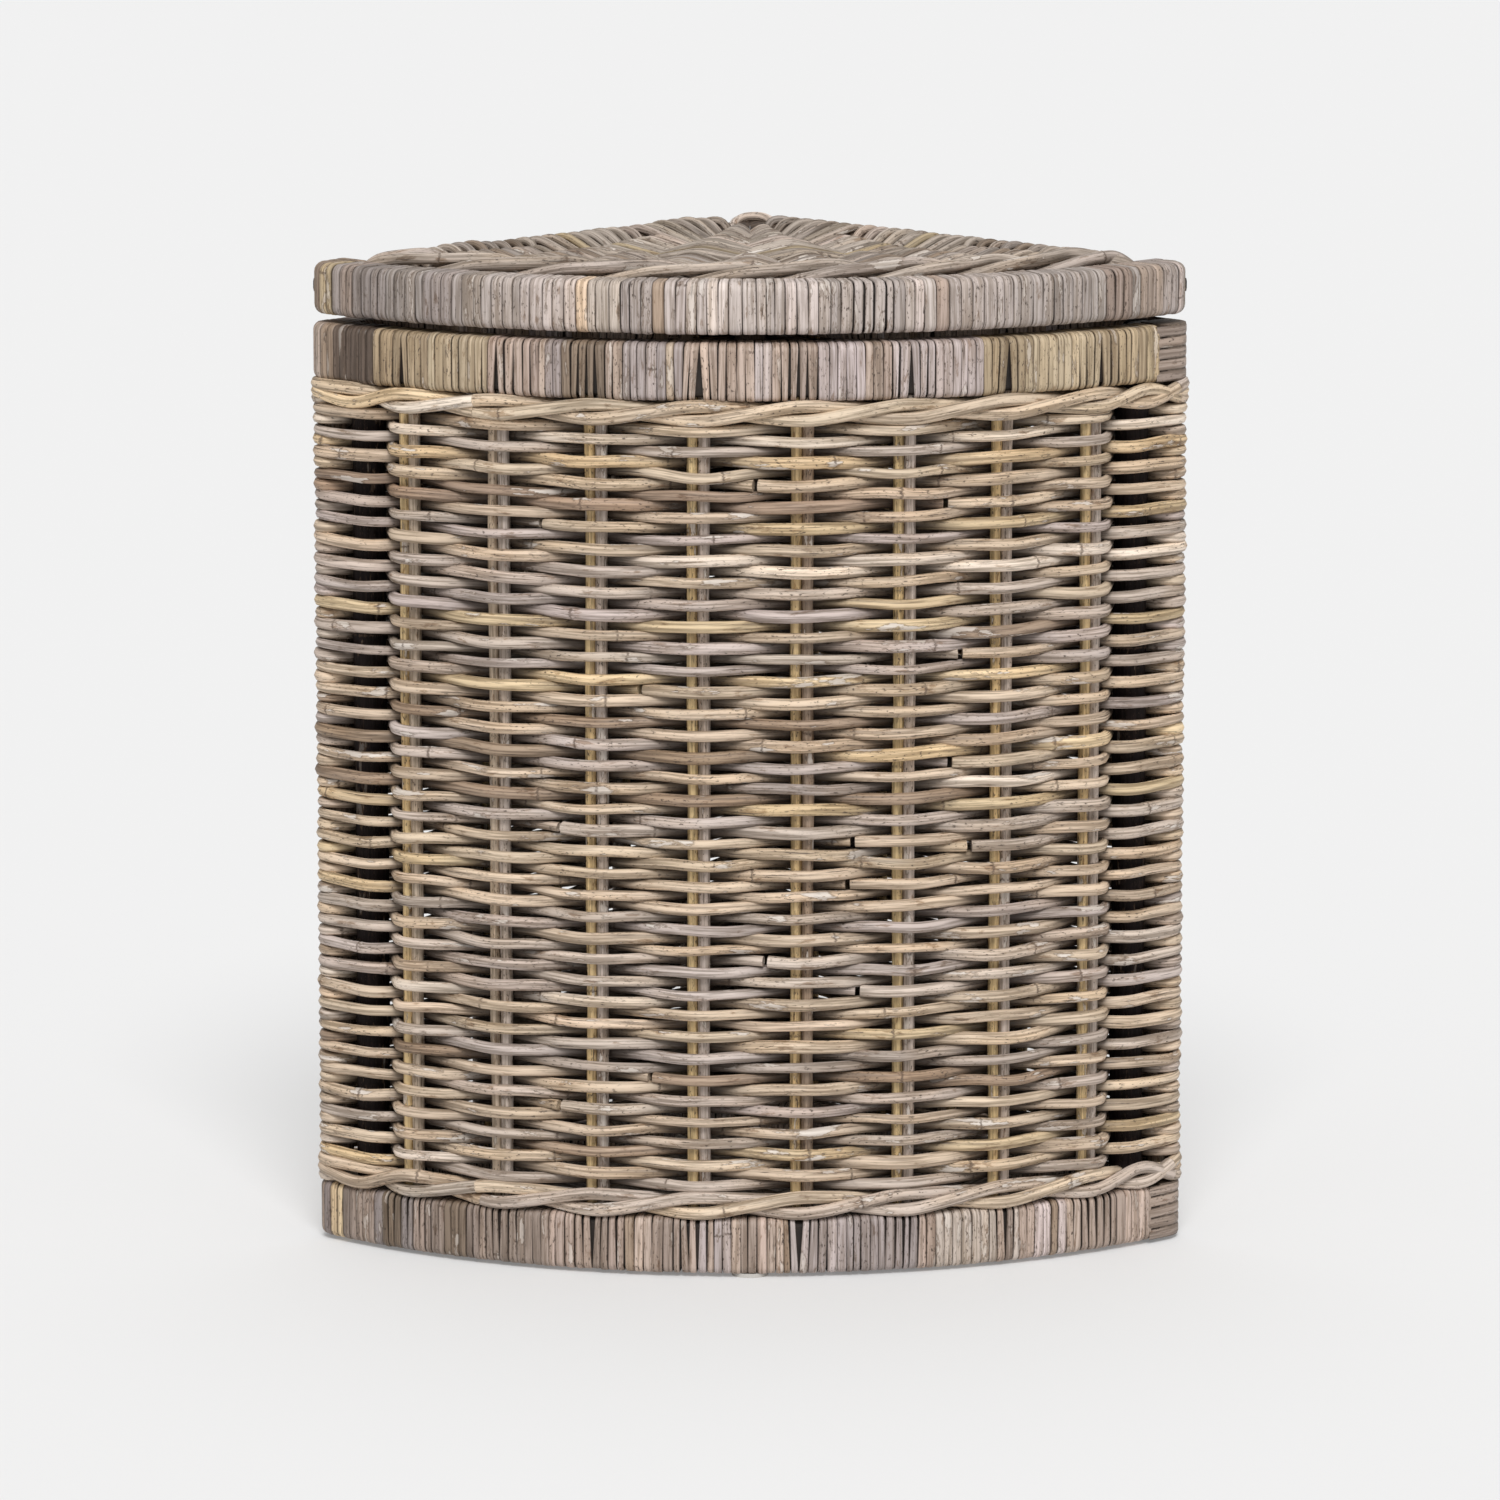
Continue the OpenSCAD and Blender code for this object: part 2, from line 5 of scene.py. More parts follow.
import bpy
import numpy as np
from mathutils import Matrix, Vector


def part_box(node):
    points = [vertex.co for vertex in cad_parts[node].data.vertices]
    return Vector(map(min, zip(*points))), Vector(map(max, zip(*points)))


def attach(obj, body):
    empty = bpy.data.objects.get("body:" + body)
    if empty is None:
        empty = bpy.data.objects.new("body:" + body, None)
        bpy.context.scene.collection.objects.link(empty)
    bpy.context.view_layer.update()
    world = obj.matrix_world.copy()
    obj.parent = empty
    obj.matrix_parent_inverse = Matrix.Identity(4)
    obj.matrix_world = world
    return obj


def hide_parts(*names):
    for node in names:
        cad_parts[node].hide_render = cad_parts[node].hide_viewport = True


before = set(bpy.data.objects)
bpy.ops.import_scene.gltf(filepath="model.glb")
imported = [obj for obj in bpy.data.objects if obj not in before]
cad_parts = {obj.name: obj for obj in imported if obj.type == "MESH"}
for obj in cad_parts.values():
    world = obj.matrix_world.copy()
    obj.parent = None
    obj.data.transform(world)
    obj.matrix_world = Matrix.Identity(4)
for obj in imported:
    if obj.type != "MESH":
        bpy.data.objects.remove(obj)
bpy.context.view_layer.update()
rng = np.random.default_rng(41)

# ---- Camera, floor and lights ----

CAMERA_PLACE = (0.0, -4.930, 1.161)
CAMERA_PITCH = 10.06
CAMERA_LENS = 196.7


def placed(name, data):
    """A new object in the scene that shows this data."""
    made = bpy.data.objects.new(name, data)
    bpy.context.scene.collection.objects.link(made)
    return made


def make_camera():
    data = bpy.data.cameras.new("camera")
    data.lens = CAMERA_LENS
    data.sensor_width = 36.0
    data.clip_start, data.clip_end = 0.1, 100.0
    camera = placed("camera", data)
    camera.location = CAMERA_PLACE
    camera.rotation_euler = (math.radians(90 - CAMERA_PITCH), 0, 0)
    bpy.context.scene.camera = camera


def sun_light(name, direction, angle, strength):
    data = bpy.data.lights.new(name, "SUN")
    data.angle = math.radians(angle)
    data.energy = strength
    placed(name, data).rotation_euler = Vector(direction).to_track_quat("-Z", "Y").to_euler()


def make_floor():
    mesh = bpy.data.meshes.new("floor")
    half = 30.0
    corners = [(-half, -half, 0), (half, -half, 0), (half, half, 0), (-half, half, 0)]
    mesh.from_pydata(corners, [], [(0, 1, 2, 3)])
    floor = placed("floor", mesh)
    material = bpy.data.materials.new("floor_paint")
    material.use_nodes = True
    bsdf = material.node_tree.nodes["Principled BSDF"]
    for socket, value in (
        ("Base Color", (0.60, 0.60, 0.60, 1)),
        ("Roughness", 0.9),
        ("Specular IOR Level", 0.05),
        ("Emission Color", (1, 1, 1, 1)),
        ("Emission Strength", 0.185),
    ):
        bsdf.inputs[socket].default_value = value
    mesh.materials.append(material)


def make_light():
    world = bpy.data.worlds.new("studio")
    world.use_nodes = True
    bpy.context.scene.world = world
    background = world.node_tree.nodes["Background"]
    background.inputs["Color"].default_value = (1, 1, 1, 1)
    background.inputs["Strength"].default_value = 0.42
    sun_light("key", (-0.03, 0.68, -0.72), 26, 2.5)
    sun_light("back", (0.0, -0.32, -1.0), 46, 0.56)


bpy.context.scene.view_settings.view_transform = "Standard"
make_camera()
make_floor()
make_light()

# ---- Sizes, from the frame ----

MM = 0.001
PLAN_R = 378 * MM  # radius of the quarter circle
CORNER_R = 17 * MM  # radius of its corners
RIM_W = 24 * MM
RIM_EDGE = 4.5 * MM
STAKE_T = 8.5 * MM  # the stakes' distance in from the outer face of the rims
POLE_T = 21.3 * MM  # the same for the poles of the lid
POLE_R = 13.5 * MM

BACK_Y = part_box("base_front_binding")[0].y + PLAN_R
BASE_Z0, BASE_Z1 = (c.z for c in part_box("base_front_binding"))
TOP_Z0, TOP_Z1 = (c.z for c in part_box("top_front_binding"))
WEAVE_Z0, WEAVE_Z1 = (c.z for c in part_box("front_weave"))
BOW_Z0, BOW_Z1 = (c.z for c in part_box("lid_front_binding"))
LID_Z = (BOW_Z0 + BOW_Z1) / 2
LID_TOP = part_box("lid_panel")[1].z
BASE_PANEL_Z = sum(c.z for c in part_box("base_panel")) / 2
STAKE_Z0, STAKE_Z1 = (c.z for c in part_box("front_stakes"))

FRONT_PAIRS = 8
FRONT_SPAN = math.radians(66.2)
SIDE_PLACES = [(62 + 60 * i) * MM for i in range(5)]
POST_A = FRONT_SPAN / 2 + math.radians(5.7)
POST_R = 10 * MM
POST_T = 15.5 * MM
HINGE_PLACES = [92 * MM, 272 * MM]
HINGE_HALF = 18 * MM
BARE_A = math.radians(40.3)  # where the binding of a rim stops before its right corner

# ---- The plan: u runs along the outer face of the rims, t goes inwards from it ----

TANGENT_A = math.asin(CORNER_R / (PLAN_R - CORNER_R))
FRONT_A = math.pi / 4 - TANGENT_A
SIDE_END = (PLAN_R - CORNER_R) * math.cos(TANGENT_A)
CORNER_TURN = 3 * math.pi / 4 - FRONT_A
STRETCHES = [
    SIDE_END - CORNER_R,
    CORNER_R * CORNER_TURN,
    2 * PLAN_R * FRONT_A,
    CORNER_R * CORNER_TURN,
    SIDE_END - CORNER_R,
    CORNER_R * math.pi / 2,
]
U_LEFT_CORNER, U_FRONT, U_RIGHT_CORNER, U_RIGHT, U_BACK, U_ALL = np.cumsum(STRETCHES)
U_MIDDLE = (U_FRONT + U_RIGHT_CORNER) / 2


def front_u(angle):
    """u of a place on the front, from its angle to the middle."""
    return U_MIDDLE + PLAN_R * angle


def front_share(u):
    """u as a share of half the front: -1 at its left end, 0 in the middle, 1 at its right end."""
    return (u - U_MIDDLE) / (U_MIDDLE - U_FRONT)


def left_u(s):
    """u of a place on the left side, from its distance to the sharp back corner."""
    return s - CORNER_R


def right_u(s):
    """The same on the right side."""
    return U_RIGHT + SIDE_END - s


def turned(cx, cy, r, angle):
    return cx + r * np.cos(angle), cy + r * np.sin(angle)


def plan(u, t):
    """x and y of the places u, t."""
    u, t = np.broadcast_arrays(np.mod(u, U_ALL), t)
    k = math.sqrt(0.5)
    px, py = (PLAN_R - CORNER_R) * math.cos(FRONT_A), (PLAN_R - CORNER_R) * math.sin(FRONT_A)
    s_left, s_right = CORNER_R + u, SIDE_END - (u - U_RIGHT)
    choices = [
        (k * (s_left + t), -k * (s_left - t)),
        turned(px, -py, CORNER_R - t, -3 * math.pi / 4 + (u - U_LEFT_CORNER) / CORNER_R),
        turned(0, 0, PLAN_R - t, (u - U_MIDDLE) / PLAN_R),
        turned(px, py, CORNER_R - t, FRONT_A + (u - U_RIGHT_CORNER) / CORNER_R),
        (k * (s_right + t), k * (s_right - t)),
        turned(CORNER_R * math.sqrt(2), 0, CORNER_R - t, 3 * math.pi / 4 + (u - U_BACK) / CORNER_R),
    ]
    which = np.searchsorted([U_LEFT_CORNER, U_FRONT, U_RIGHT_CORNER, U_RIGHT, U_BACK], u, side="right")
    ahead, across = (np.choose(which, part) for part in zip(*choices))
    return across, BACK_Y - ahead


def mitre(u):
    """The furthest in that a piece at u reaches before it meets the next side."""
    u = np.mod(u, U_ALL)
    near = math.pi / 4 - np.abs(u - U_MIDDLE) / PLAN_R
    s = np.where(u < U_LEFT_CORNER, CORNER_R + u, SIDE_END - (u - U_RIGHT))
    side = np.minimum(s, (PLAN_R**2 - s**2) / (2 * PLAN_R))
    front = PLAN_R * np.sin(near) / (1 + np.sin(near))
    on_front = (u >= U_FRONT) & (u <= U_RIGHT_CORNER)
    on_side = (u < U_LEFT_CORNER) | ((u > U_RIGHT) & (u < U_BACK))
    return np.where(on_front, front, np.where(on_side, side, CORNER_R))


# ---- Mesh building ----


class Piece:
    """Collects grids of quads with the values that the rattan material reads."""

    def __init__(self, name):
        self.name = name
        self.count = 0
        self.points, self.tints, self.fibres, self.marks = [], [], [], []
        self.quads, self.tris = [], [np.zeros((0, 3), int)]

    def add(self, points, tint, fibre, mark):
        flat = points.reshape(-1, 3)
        self.points.append(flat)
        self.tints.append(np.broadcast_to(tint, points.shape).reshape(-1, 3))
        self.fibres.append(fibre.reshape(-1, 3))
        self.marks.append(np.broadcast_to(mark, points.shape).reshape(-1, 3))
        first = self.count
        self.count += len(flat)
        return first

    def grid(self, points, tint, fibre, mark, closed=(False, False)):
        """Quads over an n by m grid; closed joins its last row or column to its first."""
        n, m, _ = points.shape
        index = self.add(points, tint, fibre, mark) + np.arange(n * m).reshape(n, m)
        if closed[0]:
            index = np.vstack([index, index[:1]])
        if closed[1]:
            index = np.hstack([index, index[:, :1]])
        quads = np.stack([index[:-1, :-1], index[:-1, 1:], index[1:, 1:], index[1:, :-1]], -1)
        self.quads.append(quads.reshape(-1, 4))

    def cap(self, ring, centre, tint, fibre, mark, outward):
        """Closes the end of a rod with a fan about its centre."""
        points = np.vstack([ring, centre])
        first = self.add(points, tint, np.vstack([fibre, fibre[:1]]), mark)
        m = len(ring)
        a = first + np.arange(m)
        b = first + (np.arange(m) + 1) % m
        middle = np.full(m, first + m)
        self.tris.append(np.stack([a, b, middle] if outward else [b, a, middle], -1))

    def finish(self, body, material, slot, replaced=()):
        mesh = bpy.data.meshes.new(self.name)
        points = np.vstack(self.points)
        quads, tris = np.vstack(self.quads), np.vstack(self.tris)
        corners = np.concatenate([quads.ravel(), tris.ravel()]).astype(np.int32)
        sizes = np.concatenate([np.full(len(quads), 4), np.full(len(tris), 3)])
        mesh.vertices.add(len(points))
        mesh.vertices.foreach_set("co", points.astype(np.float32).ravel())
        mesh.loops.add(len(corners))
        mesh.loops.foreach_set("vertex_index", corners)
        mesh.polygons.add(len(sizes))
        starts = np.concatenate([[0], np.cumsum(sizes)[:-1]])
        mesh.polygons.foreach_set("loop_start", starts.astype(np.int32))
        mesh.polygons.foreach_set("use_smooth", np.ones(len(sizes), bool))
        tints = np.hstack([np.vstack(self.tints), np.ones((len(points), 1))])
        for name, kind, key, values in (
            ("tint", "FLOAT_COLOR", "color", tints),
            ("fibre", "FLOAT_VECTOR", "vector", np.vstack(self.fibres)),
            ("mark", "FLOAT_VECTOR", "vector", np.vstack(self.marks)),
        ):
            layer = mesh.attributes.new(name, kind, "POINT")
            layer.data.foreach_set(key, values.astype(np.float32).ravel())
        mesh.update(calc_edges=True)
        mesh.validate()
        mesh.materials.append(material)
        made = placed(self.name, mesh)
        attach(made, body)
        if replaced:
            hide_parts(*replaced)


def unit(v):
    return v / np.maximum(np.linalg.norm(v, axis=-1, keepdims=True), 1e-12)


def lengths(path):
    return np.concatenate([[0], np.cumsum(np.linalg.norm(np.diff(path, axis=0), axis=1))])


def waves(along, wavelength, size):
    """A smooth wander of about that size along a rod."""
    total = np.zeros_like(along)
    for share in (1.0, 0.55, 0.3):
        total += np.sin(along * 2 * math.pi / (wavelength * share) + rng.uniform(0, 6.28)) * size * share
    return total


def growth_rings(along):
    """Signed distance from each place to the nearest growth ring of the cane."""
    places = [along[0] - rng.uniform(0, 0.2)]
    while places[-1] < along[-1] + 0.3:
        places.append(places[-1] + rng.uniform(0.14, 0.36))
    places = np.array(places)
    nearest = np.abs(along[:, None] - places[None]).argmin(1)
    return along - places[nearest]


def rod_frames(path, upright):
    """Two directions across the path. With upright the second stays as near to +Z as it can."""
    tangent = unit(np.gradient(path, axis=0))
    if upright:
        side = unit(np.cross(np.array([0.0, 0.0, 1.0]), tangent))
        return side, np.cross(tangent, side)
    side = np.zeros_like(path)
    side[0] = unit(np.cross(tangent[0], [0.3, 0.2, 0.9]))
    for i in range(1, len(path)):
        side[i] = unit(side[i - 1] - tangent[i] * np.dot(side[i - 1], tangent[i]))
    return side, np.cross(tangent, side)


def layers(*values):
    """Values over a grid, side by side as the last axis."""
    return np.stack(np.broadcast_arrays(*values), -1)


def rod(piece, path, radius, tint, sides=8, upright=True, painted_shade=0.0, inner=0.0, tall=1.0):
    """A cane along a path, with its growth rings and a slightly uneven thickness.

    grime darkens it along its length as painted shade, inner paints shade on its inward side, tall stretches
    it in Z.
    """
    path = np.asarray(path, float)
    side, over = rod_frames(path, upright)
    along = lengths(path)
    ring = growth_rings(along)
    swell = 1 + 0.10 * np.exp(-((ring / 0.0024) ** 2)) + waves(along, 0.09, 0.018)
    r = (radius * swell)[:, None]
    angle = np.linspace(0, 2 * math.pi, sides, endpoint=False)
    cos, sin = np.cos(angle), np.sin(angle)
    over = over * np.broadcast_to(tall, len(path))[:, None]
    around = cos[None, :, None] * side[:, None] + sin[None, :, None] * over[:, None]
    points = path[:, None] + r[..., None] * around
    fibre = layers(along[:, None], r * cos, r * sin) + rng.uniform(0, 20, 3)
    swing = np.sin(along * rng.uniform(12, 30) + rng.uniform(0, 6.28))
    patch = np.clip(rng.normal(0.35, 0.35) + 0.4 * swing, 0, 1)
    # Painted shade: the first value along the cane, and painted shade on the cane's inward side
    shaded = np.maximum(np.broadcast_to(painted_shade, len(path))[:, None], inner * np.clip(cos * 1.6 - 0.3, 0, 1))
    mark = layers(shaded, ring[:, None], patch[:, None])
    piece.grid(points, tint, fibre, mark, (False, True))
    cut = np.array(tint) * 0.8
    plain = np.array([0.0, 0.1, 0.5])
    for end in (0, -1):
        piece.cap(points[end], path[end], cut, fibre[end], plain, end == -1)


# ---- Colours of the canes ----


def linear(*srgb):
    return np.array([(c / 255 / 12.92) if c < 10.3 else ((c / 255 + 0.055) / 1.055) ** 2.4 for c in srgb])


TAN = linear(197, 179, 158)
GREY = linear(184, 171, 160)
LILAC = linear(180, 168, 162)
STRAW = linear(199, 179, 146)
BROWN = linear(160, 140, 121)
PALE = linear(216, 203, 188)
DARK = linear(112, 96, 84)
PEACH = linear(208, 184, 158)
ASH = linear(184, 172, 165)
STAKE_STRAW = linear(214, 188, 140)
ROD_MIX = [(TAN, 0.50), (GREY, 0.24), (LILAC, 0.08), (STRAW, 0.09), (BROWN, 0.06), (PALE, 0.03)]
ROD_MIX = [(np.array([1.09, 1.07, 1.04]) * colour, share) for colour, share in ROD_MIX]


def pick(mix, spread=0.08):
    colours, weights = zip(*mix)
    weights = np.array(weights) / sum(weights)
    chosen = colours[rng.choice(len(colours), p=weights)]
    return np.clip(chosen * (1 + rng.normal(0, spread)) * (1 + rng.normal(0, 0.006, 3)), 0.02, 0.95)


# ---- Materials ----


class Shader:
    """Short names for the nodes of a material."""

    def __init__(self, name):
        self.material = bpy.data.materials.new(name)
        self.material.use_nodes = True
        self.tree = self.material.node_tree
        self.bsdf = self.tree.nodes["Principled BSDF"]

    def node(self, kind, **settings):
        made = self.tree.nodes.new(kind)
        for key, value in settings.items():
            setattr(made, key, value)
        return made

    def put(self, value, socket):
        if isinstance(value, bpy.types.NodeSocket):
            self.tree.links.new(value, socket)
        else:
            socket.default_value = value

    def math(self, operation, a, b=0.0):
        made = self.node("ShaderNodeMath", operation=operation)
        for value, socket in zip((a, b), made.inputs):
            self.put(value, socket)
        return made.outputs[0]

    def times(self, a, b):
        return self.math("MULTIPLY", a, b)

    def plus(self, a, b):
        return self.math("ADD", a, b)

    def scaled(self, vector, scale):
        made = self.node("ShaderNodeVectorMath", operation="MULTIPLY")
        self.put(vector, made.inputs[0])
        made.inputs[1].default_value = scale
        return made.outputs[0]

    def noise(self, vector, detail=2.0, roughness=0.5):
        made = self.node("ShaderNodeTexNoise")
        values = {"Vector": vector, "Scale": 1.0, "Detail": detail, "Roughness": roughness}
        for socket, value in values.items():
            self.put(value, made.inputs[socket])
        return made.outputs["Fac"]

    def step(self, value, low, high, out_low=0.0, out_high=1.0):
        made = self.node("ShaderNodeMapRange", interpolation_type="SMOOTHSTEP")
        self.put(value, made.inputs[0])
        for number, socket in zip((low, high, out_low, out_high), made.inputs[1:5]):
            socket.default_value = number
        return made.outputs[0]

    def mix(self, share, a, b, blend="MIX"):
        made = self.node("ShaderNodeMix", data_type="RGBA", blend_type=blend)
        self.put(share, made.inputs[0])
        self.put(a, made.inputs[6])
        self.put(b, made.inputs[7])
        return made.outputs[2]

    def dyed(self, colour, *dye):
        return self.mix(1.0, colour, (*dye, 1), "MULTIPLY")

    def attribute(self, name, output):
        return self.node("ShaderNodeAttribute", attribute_name=name).outputs[output]

    def bump(self, height, strength, distance):
        made = self.node("ShaderNodeBump")
        for socket, value in {"Height": height, "Strength": strength, "Distance": distance}.items():
            self.put(value, made.inputs[socket])
        self.put(made.outputs[0], self.bsdf.inputs["Normal"])

    def finished(self, colour, roughness, shine=0.5):
        values = {"Base Color": colour, "Roughness": roughness, "Specular IOR Level": shine}
        for socket, value in values.items():
            self.put(value, self.bsdf.inputs[socket])
        return self.material


def cane_grains(s):
    """Noises drawn out along the fibre, by name."""
    fibre = s.attribute("fibre", "Vector")
    kinds = {
        "streak": ((20, 560, 560), 4.0, 0.62),
        "fine": ((90, 1500, 1500), 2.0, 0.5),
        "broad": ((13, 70, 70), 2.0, 0.5),
        "blotch": ((60, 230, 230), 5.0, 0.68),
        "peel": ((31, 140, 140), 5.0, 0.62),
        "grain": ((330, 900, 900), 3.0, 0.6),
        "crack": ((24, 850, 850), 2.0, 0.5),
    }
    return {name: s.noise(s.scaled(fibre, scale), *rest) for name, (scale, *rest) in kinds.items()}


def stained_skin(s, grains, near_ring, wear, warmth, dullness):
    """The colour of the skin, streaked, warmer in places, and browned in blotches and at the rings."""
    tint = s.attribute("tint", "Color")
    pale = s.dyed(tint, 1.16, 1.16, 1.18)
    dull = s.dyed(tint, dullness, dullness * 0.95, dullness * 0.9)
    colour = s.mix(s.step(grains["streak"], 0.38, 0.60), dull, pale)
    warm = s.dyed(colour, 1.0, 0.91, 0.78)
    colour = s.mix(s.times(s.step(grains["broad"], 0.44, 0.66), warmth), colour, warm)
    stained = s.plus(grains["blotch"], s.times(near_ring, 0.07))
    brown = s.dyed(colour, 0.50, 0.41, 0.33)
    return s.mix(s.times(s.step(stained, 0.58, 0.68), 0.45 + 0.4 * wear), colour, brown)


def dark_marks(s, grains, wear):
    """Specks and cracks, 0 to 1."""
    line = 0.70 - 0.05 * wear
    specks = s.times(s.step(grains["grain"], line - 0.05, line), s.step(grains["broad"], 0.36, 0.58))
    cracks = s.times(s.step(grains["crack"], 0.655, 0.70), s.step(grains["blotch"], 0.42, 0.56))
    return s.math("MAXIMUM", specks, cracks)


def peeled_skin(s, grains, colour, near_ring, patch, baring):
    """The colour with wood bared where the skin has peeled, and where it is bare, 0 to 1."""
    peeled = s.plus(grains["peel"], s.times(near_ring, 0.05))
    peeled = s.plus(peeled, s.times(s.math("SUBTRACT", patch, 0.5), 0.07))
    skin_edge = s.times(s.step(peeled, 0.59, 0.615), s.step(peeled, 0.65, 0.625))
    bare = s.step(peeled, 0.625, 0.64)
    wood = s.mix(s.step(grains["streak"], 0.35, 0.65), (0.50, 0.43, 0.37, 1), (0.72, 0.66, 0.60, 1))
    colour = s.mix(s.times(skin_edge, 0.55), colour, (0.13, 0.085, 0.055, 1))
    return s.mix(s.times(bare, baring), colour, wood), bare


def ring_grooves(s, grains, ring):
    """The broken dark line of each growth ring, 0 to 1."""
    jag = s.times(s.math("SUBTRACT", grains["grain"], 0.5), 0.0042)
    groove = s.step(s.math("ABSOLUTE", s.plus(ring, jag)), 0.0010, 0.0003)
    return s.times(groove, s.step(grains["streak"], 0.40, 0.52))


def cane_material(name, wear, warmth, dullness, baring=0.85, shine=0.40):
    """Weathered cane. Its attribute mark holds painted shade, the distance to a growth ring, and patchiness.
    """
    s = Shader(name)
    grains = cane_grains(s)
    mark = s.node("ShaderNodeSeparateXYZ")
    s.put(s.attribute("mark", "Vector"), mark.inputs[0])
    painted_shade, ring, patch = mark.outputs
    near_ring = s.step(s.math("ABSOLUTE", ring), 0.011, 0.001)
    marks = dark_marks(s, grains, wear)
    groove = ring_grooves(s, grains, ring)

    colour = stained_skin(s, grains, near_ring, wear, warmth, dullness)
    colour = s.mix(s.times(marks, 0.62 + 0.2 * wear), colour, (0.055, 0.036, 0.025, 1))
    colour, bare = peeled_skin(s, grains, colour, near_ring, patch, baring)
    colour = s.mix(s.times(groove, 0.72), colour, (0.10, 0.065, 0.045, 1))
    # Painted shade: near black where the first value of mark is high
    colour = s.mix(s.times(s.step(painted_shade, 0.25, 1.0), 0.9), colour, (0.035, 0.024, 0.018, 1))

    height = s.plus(grains["streak"], s.times(grains["fine"], 0.5))
    for dent, depth in ((marks, 0.8), (groove, 1.0), (bare, 0.5)):
        height = s.math("SUBTRACT", height, s.times(dent, depth))
    s.bump(height, 0.6, 0.0005)
    return s.finished(colour, s.step(grains["streak"], 0.2, 0.8, 0.40, 0.68), shine)


def pole_material(name, colour, dark):
    """Smoked pole, rail or cord of cane, coloured by its place; the rails' near-black colour is painted
    shade.
    """
    s = Shader(name)
    place = s.node("ShaderNodeTexCoord").outputs["Object"]
    along = s.noise(s.scaled(place, (420, 420, 25)), 4.0, 0.6)
    across = s.noise(s.scaled(place, (60, 60, 60)), 3.0, 0.6)
    specks = s.noise(s.scaled(place, (900, 900, 500)), 2.0)
    base = s.mix(s.step(along, 0.35, 0.65), dark, colour)
    base = s.mix(s.times(s.step(across, 0.45, 0.7), 0.6), base, dark)
    base = s.mix(s.times(s.step(specks, 0.64, 0.72), 0.6), base, (0.03, 0.022, 0.018, 1))
    s.bump(along, 0.5, 0.0005)
    return s.finished(base, s.step(along, 0.2, 0.8, 0.45, 0.75), 0.35)


def plastic_material(name):
    s = Shader(name)
    place = s.node("ShaderNodeTexCoord").outputs["Object"]
    grain = s.noise(s.scaled(place, (1800, 1800, 1800)), 2.0)
    scuff = s.noise(s.scaled(place, (160, 160, 400)), 3.0, 0.7)
    base = s.mix(s.step(scuff, 0.5, 0.72), (0.50, 0.48, 0.45, 1), (0.36, 0.34, 0.31, 1))
    s.bump(grain, 0.25, 0.0002)
    return s.finished(base, s.step(scuff, 0.3, 0.7, 0.38, 0.6))


rod_look = cane_material("cane_rods", 0.95, 0.5, 0.52)
peel_look = cane_material("cane_peel", 1.0, 0.3, 0.66, 0.45)
stake_look = cane_material("cane_stakes", 1.2, 0.5, 0.60)
post_look = cane_material("cane_posts", 1.2, 0.5, 0.60, 0.2, 0.08)
pole_look = pole_material("smoked_pole", (0.10, 0.068, 0.048, 1), (0.03, 0.021, 0.016, 1))
# The rails inside the bindings are near black: painted shade
rail_look = pole_material("shaded_rail", (0.030, 0.021, 0.016, 1), (0.012, 0.009, 0.007, 1))
loop_look = pole_material("peel_loops", (0.36, 0.26, 0.18, 1), (0.16, 0.11, 0.08, 1))
core_look = pole_material("corner_core", (0.22, 0.165, 0.125, 1), (0.10, 0.072, 0.052, 1))
glide_look = plastic_material("glide_plastic")

# ---- The wall ----

ROD_R = 3.45 * MM
ROW_PITCH = 6.45 * MM
OUT_T = 1.9 * MM
IN_T = STAKE_T + 3.3 * MM + ROD_R


def resampled(path, step, closed=False):
    """The same path with points a step apart."""
    if closed:
        path = np.vstack([path, path[:1]])
    along = lengths(path)
    count = max(4, int(round(along[-1] / step)))
    places = np.linspace(0, along[-1], count + 1)
    if closed:
        places = places[:-1]
    return np.stack([np.interp(places, along, path[:, k]) for k in range(path.shape[1])], 1)


def eased(path, step, reach, closed=False):
    """Bends a path of straight runs the way a cane bends, over about that reach."""
    path = resampled(path, step, closed)
    half = max(2, int(3 * reach / step))
    if closed:
        path = np.vstack([path[-half:], path, path[:half]])
    else:
        path = np.vstack([2 * path[0] - path[half:0:-1], path, 2 * path[-1] - path[-2 : -half - 2 : -1]])
    kernel = np.exp(-0.5 * (np.arange(-half, half + 1) * step / reach) ** 2)
    kernel /= kernel.sum()
    return np.stack([np.convolve(column, kernel, "valid") for column in path.T], 1)


def laid(controls):
    """A path over the plan through places (u, t, z), following the plan between them."""
    fine = resampled(np.asarray(controls, float), 1.5 * MM)
    return layers(*plan(fine[:, 0], fine[:, 1]), fine[:, 2])


def uprights():
    """(kind, u) of everything that stands in the wall, in order round the plan."""
    corners = [("corner", u + CORNER_R * CORNER_TURN / 2) for u in (U_LEFT_CORNER, U_RIGHT_CORNER)]
    front = [("pair", front_u(a)) for a in np.linspace(-FRONT_SPAN / 2, FRONT_SPAN / 2, FRONT_PAIRS)]
    found = [("pair", left_u(s)) for s in SIDE_PLACES]
    found += [corners[0], ("post", front_u(-POST_A)), *front, ("post", front_u(POST_A)), corners[1]]
    found += [("pair", right_u(s)) for s in reversed(SIDE_PLACES)]
    return found + [("corner", (U_BACK + U_ALL) / 2)]


UPRIGHTS = uprights()


def past_post(u, inside):
    """Places that take a rod past a post, close round it if the rod passes inside."""
    if not inside:
        return [(u - 9 * MM, OUT_T), (u + 9 * MM, OUT_T)]
    reach = POST_R + ROD_R
    first, last = (-20, 140) if u < U_MIDDLE else (40, 200)
    turn = [math.radians(a) for a in range(first, last + 1, 20)]
    return [(u - reach * math.cos(a), POST_T + reach * math.sin(a)) for a in turn]


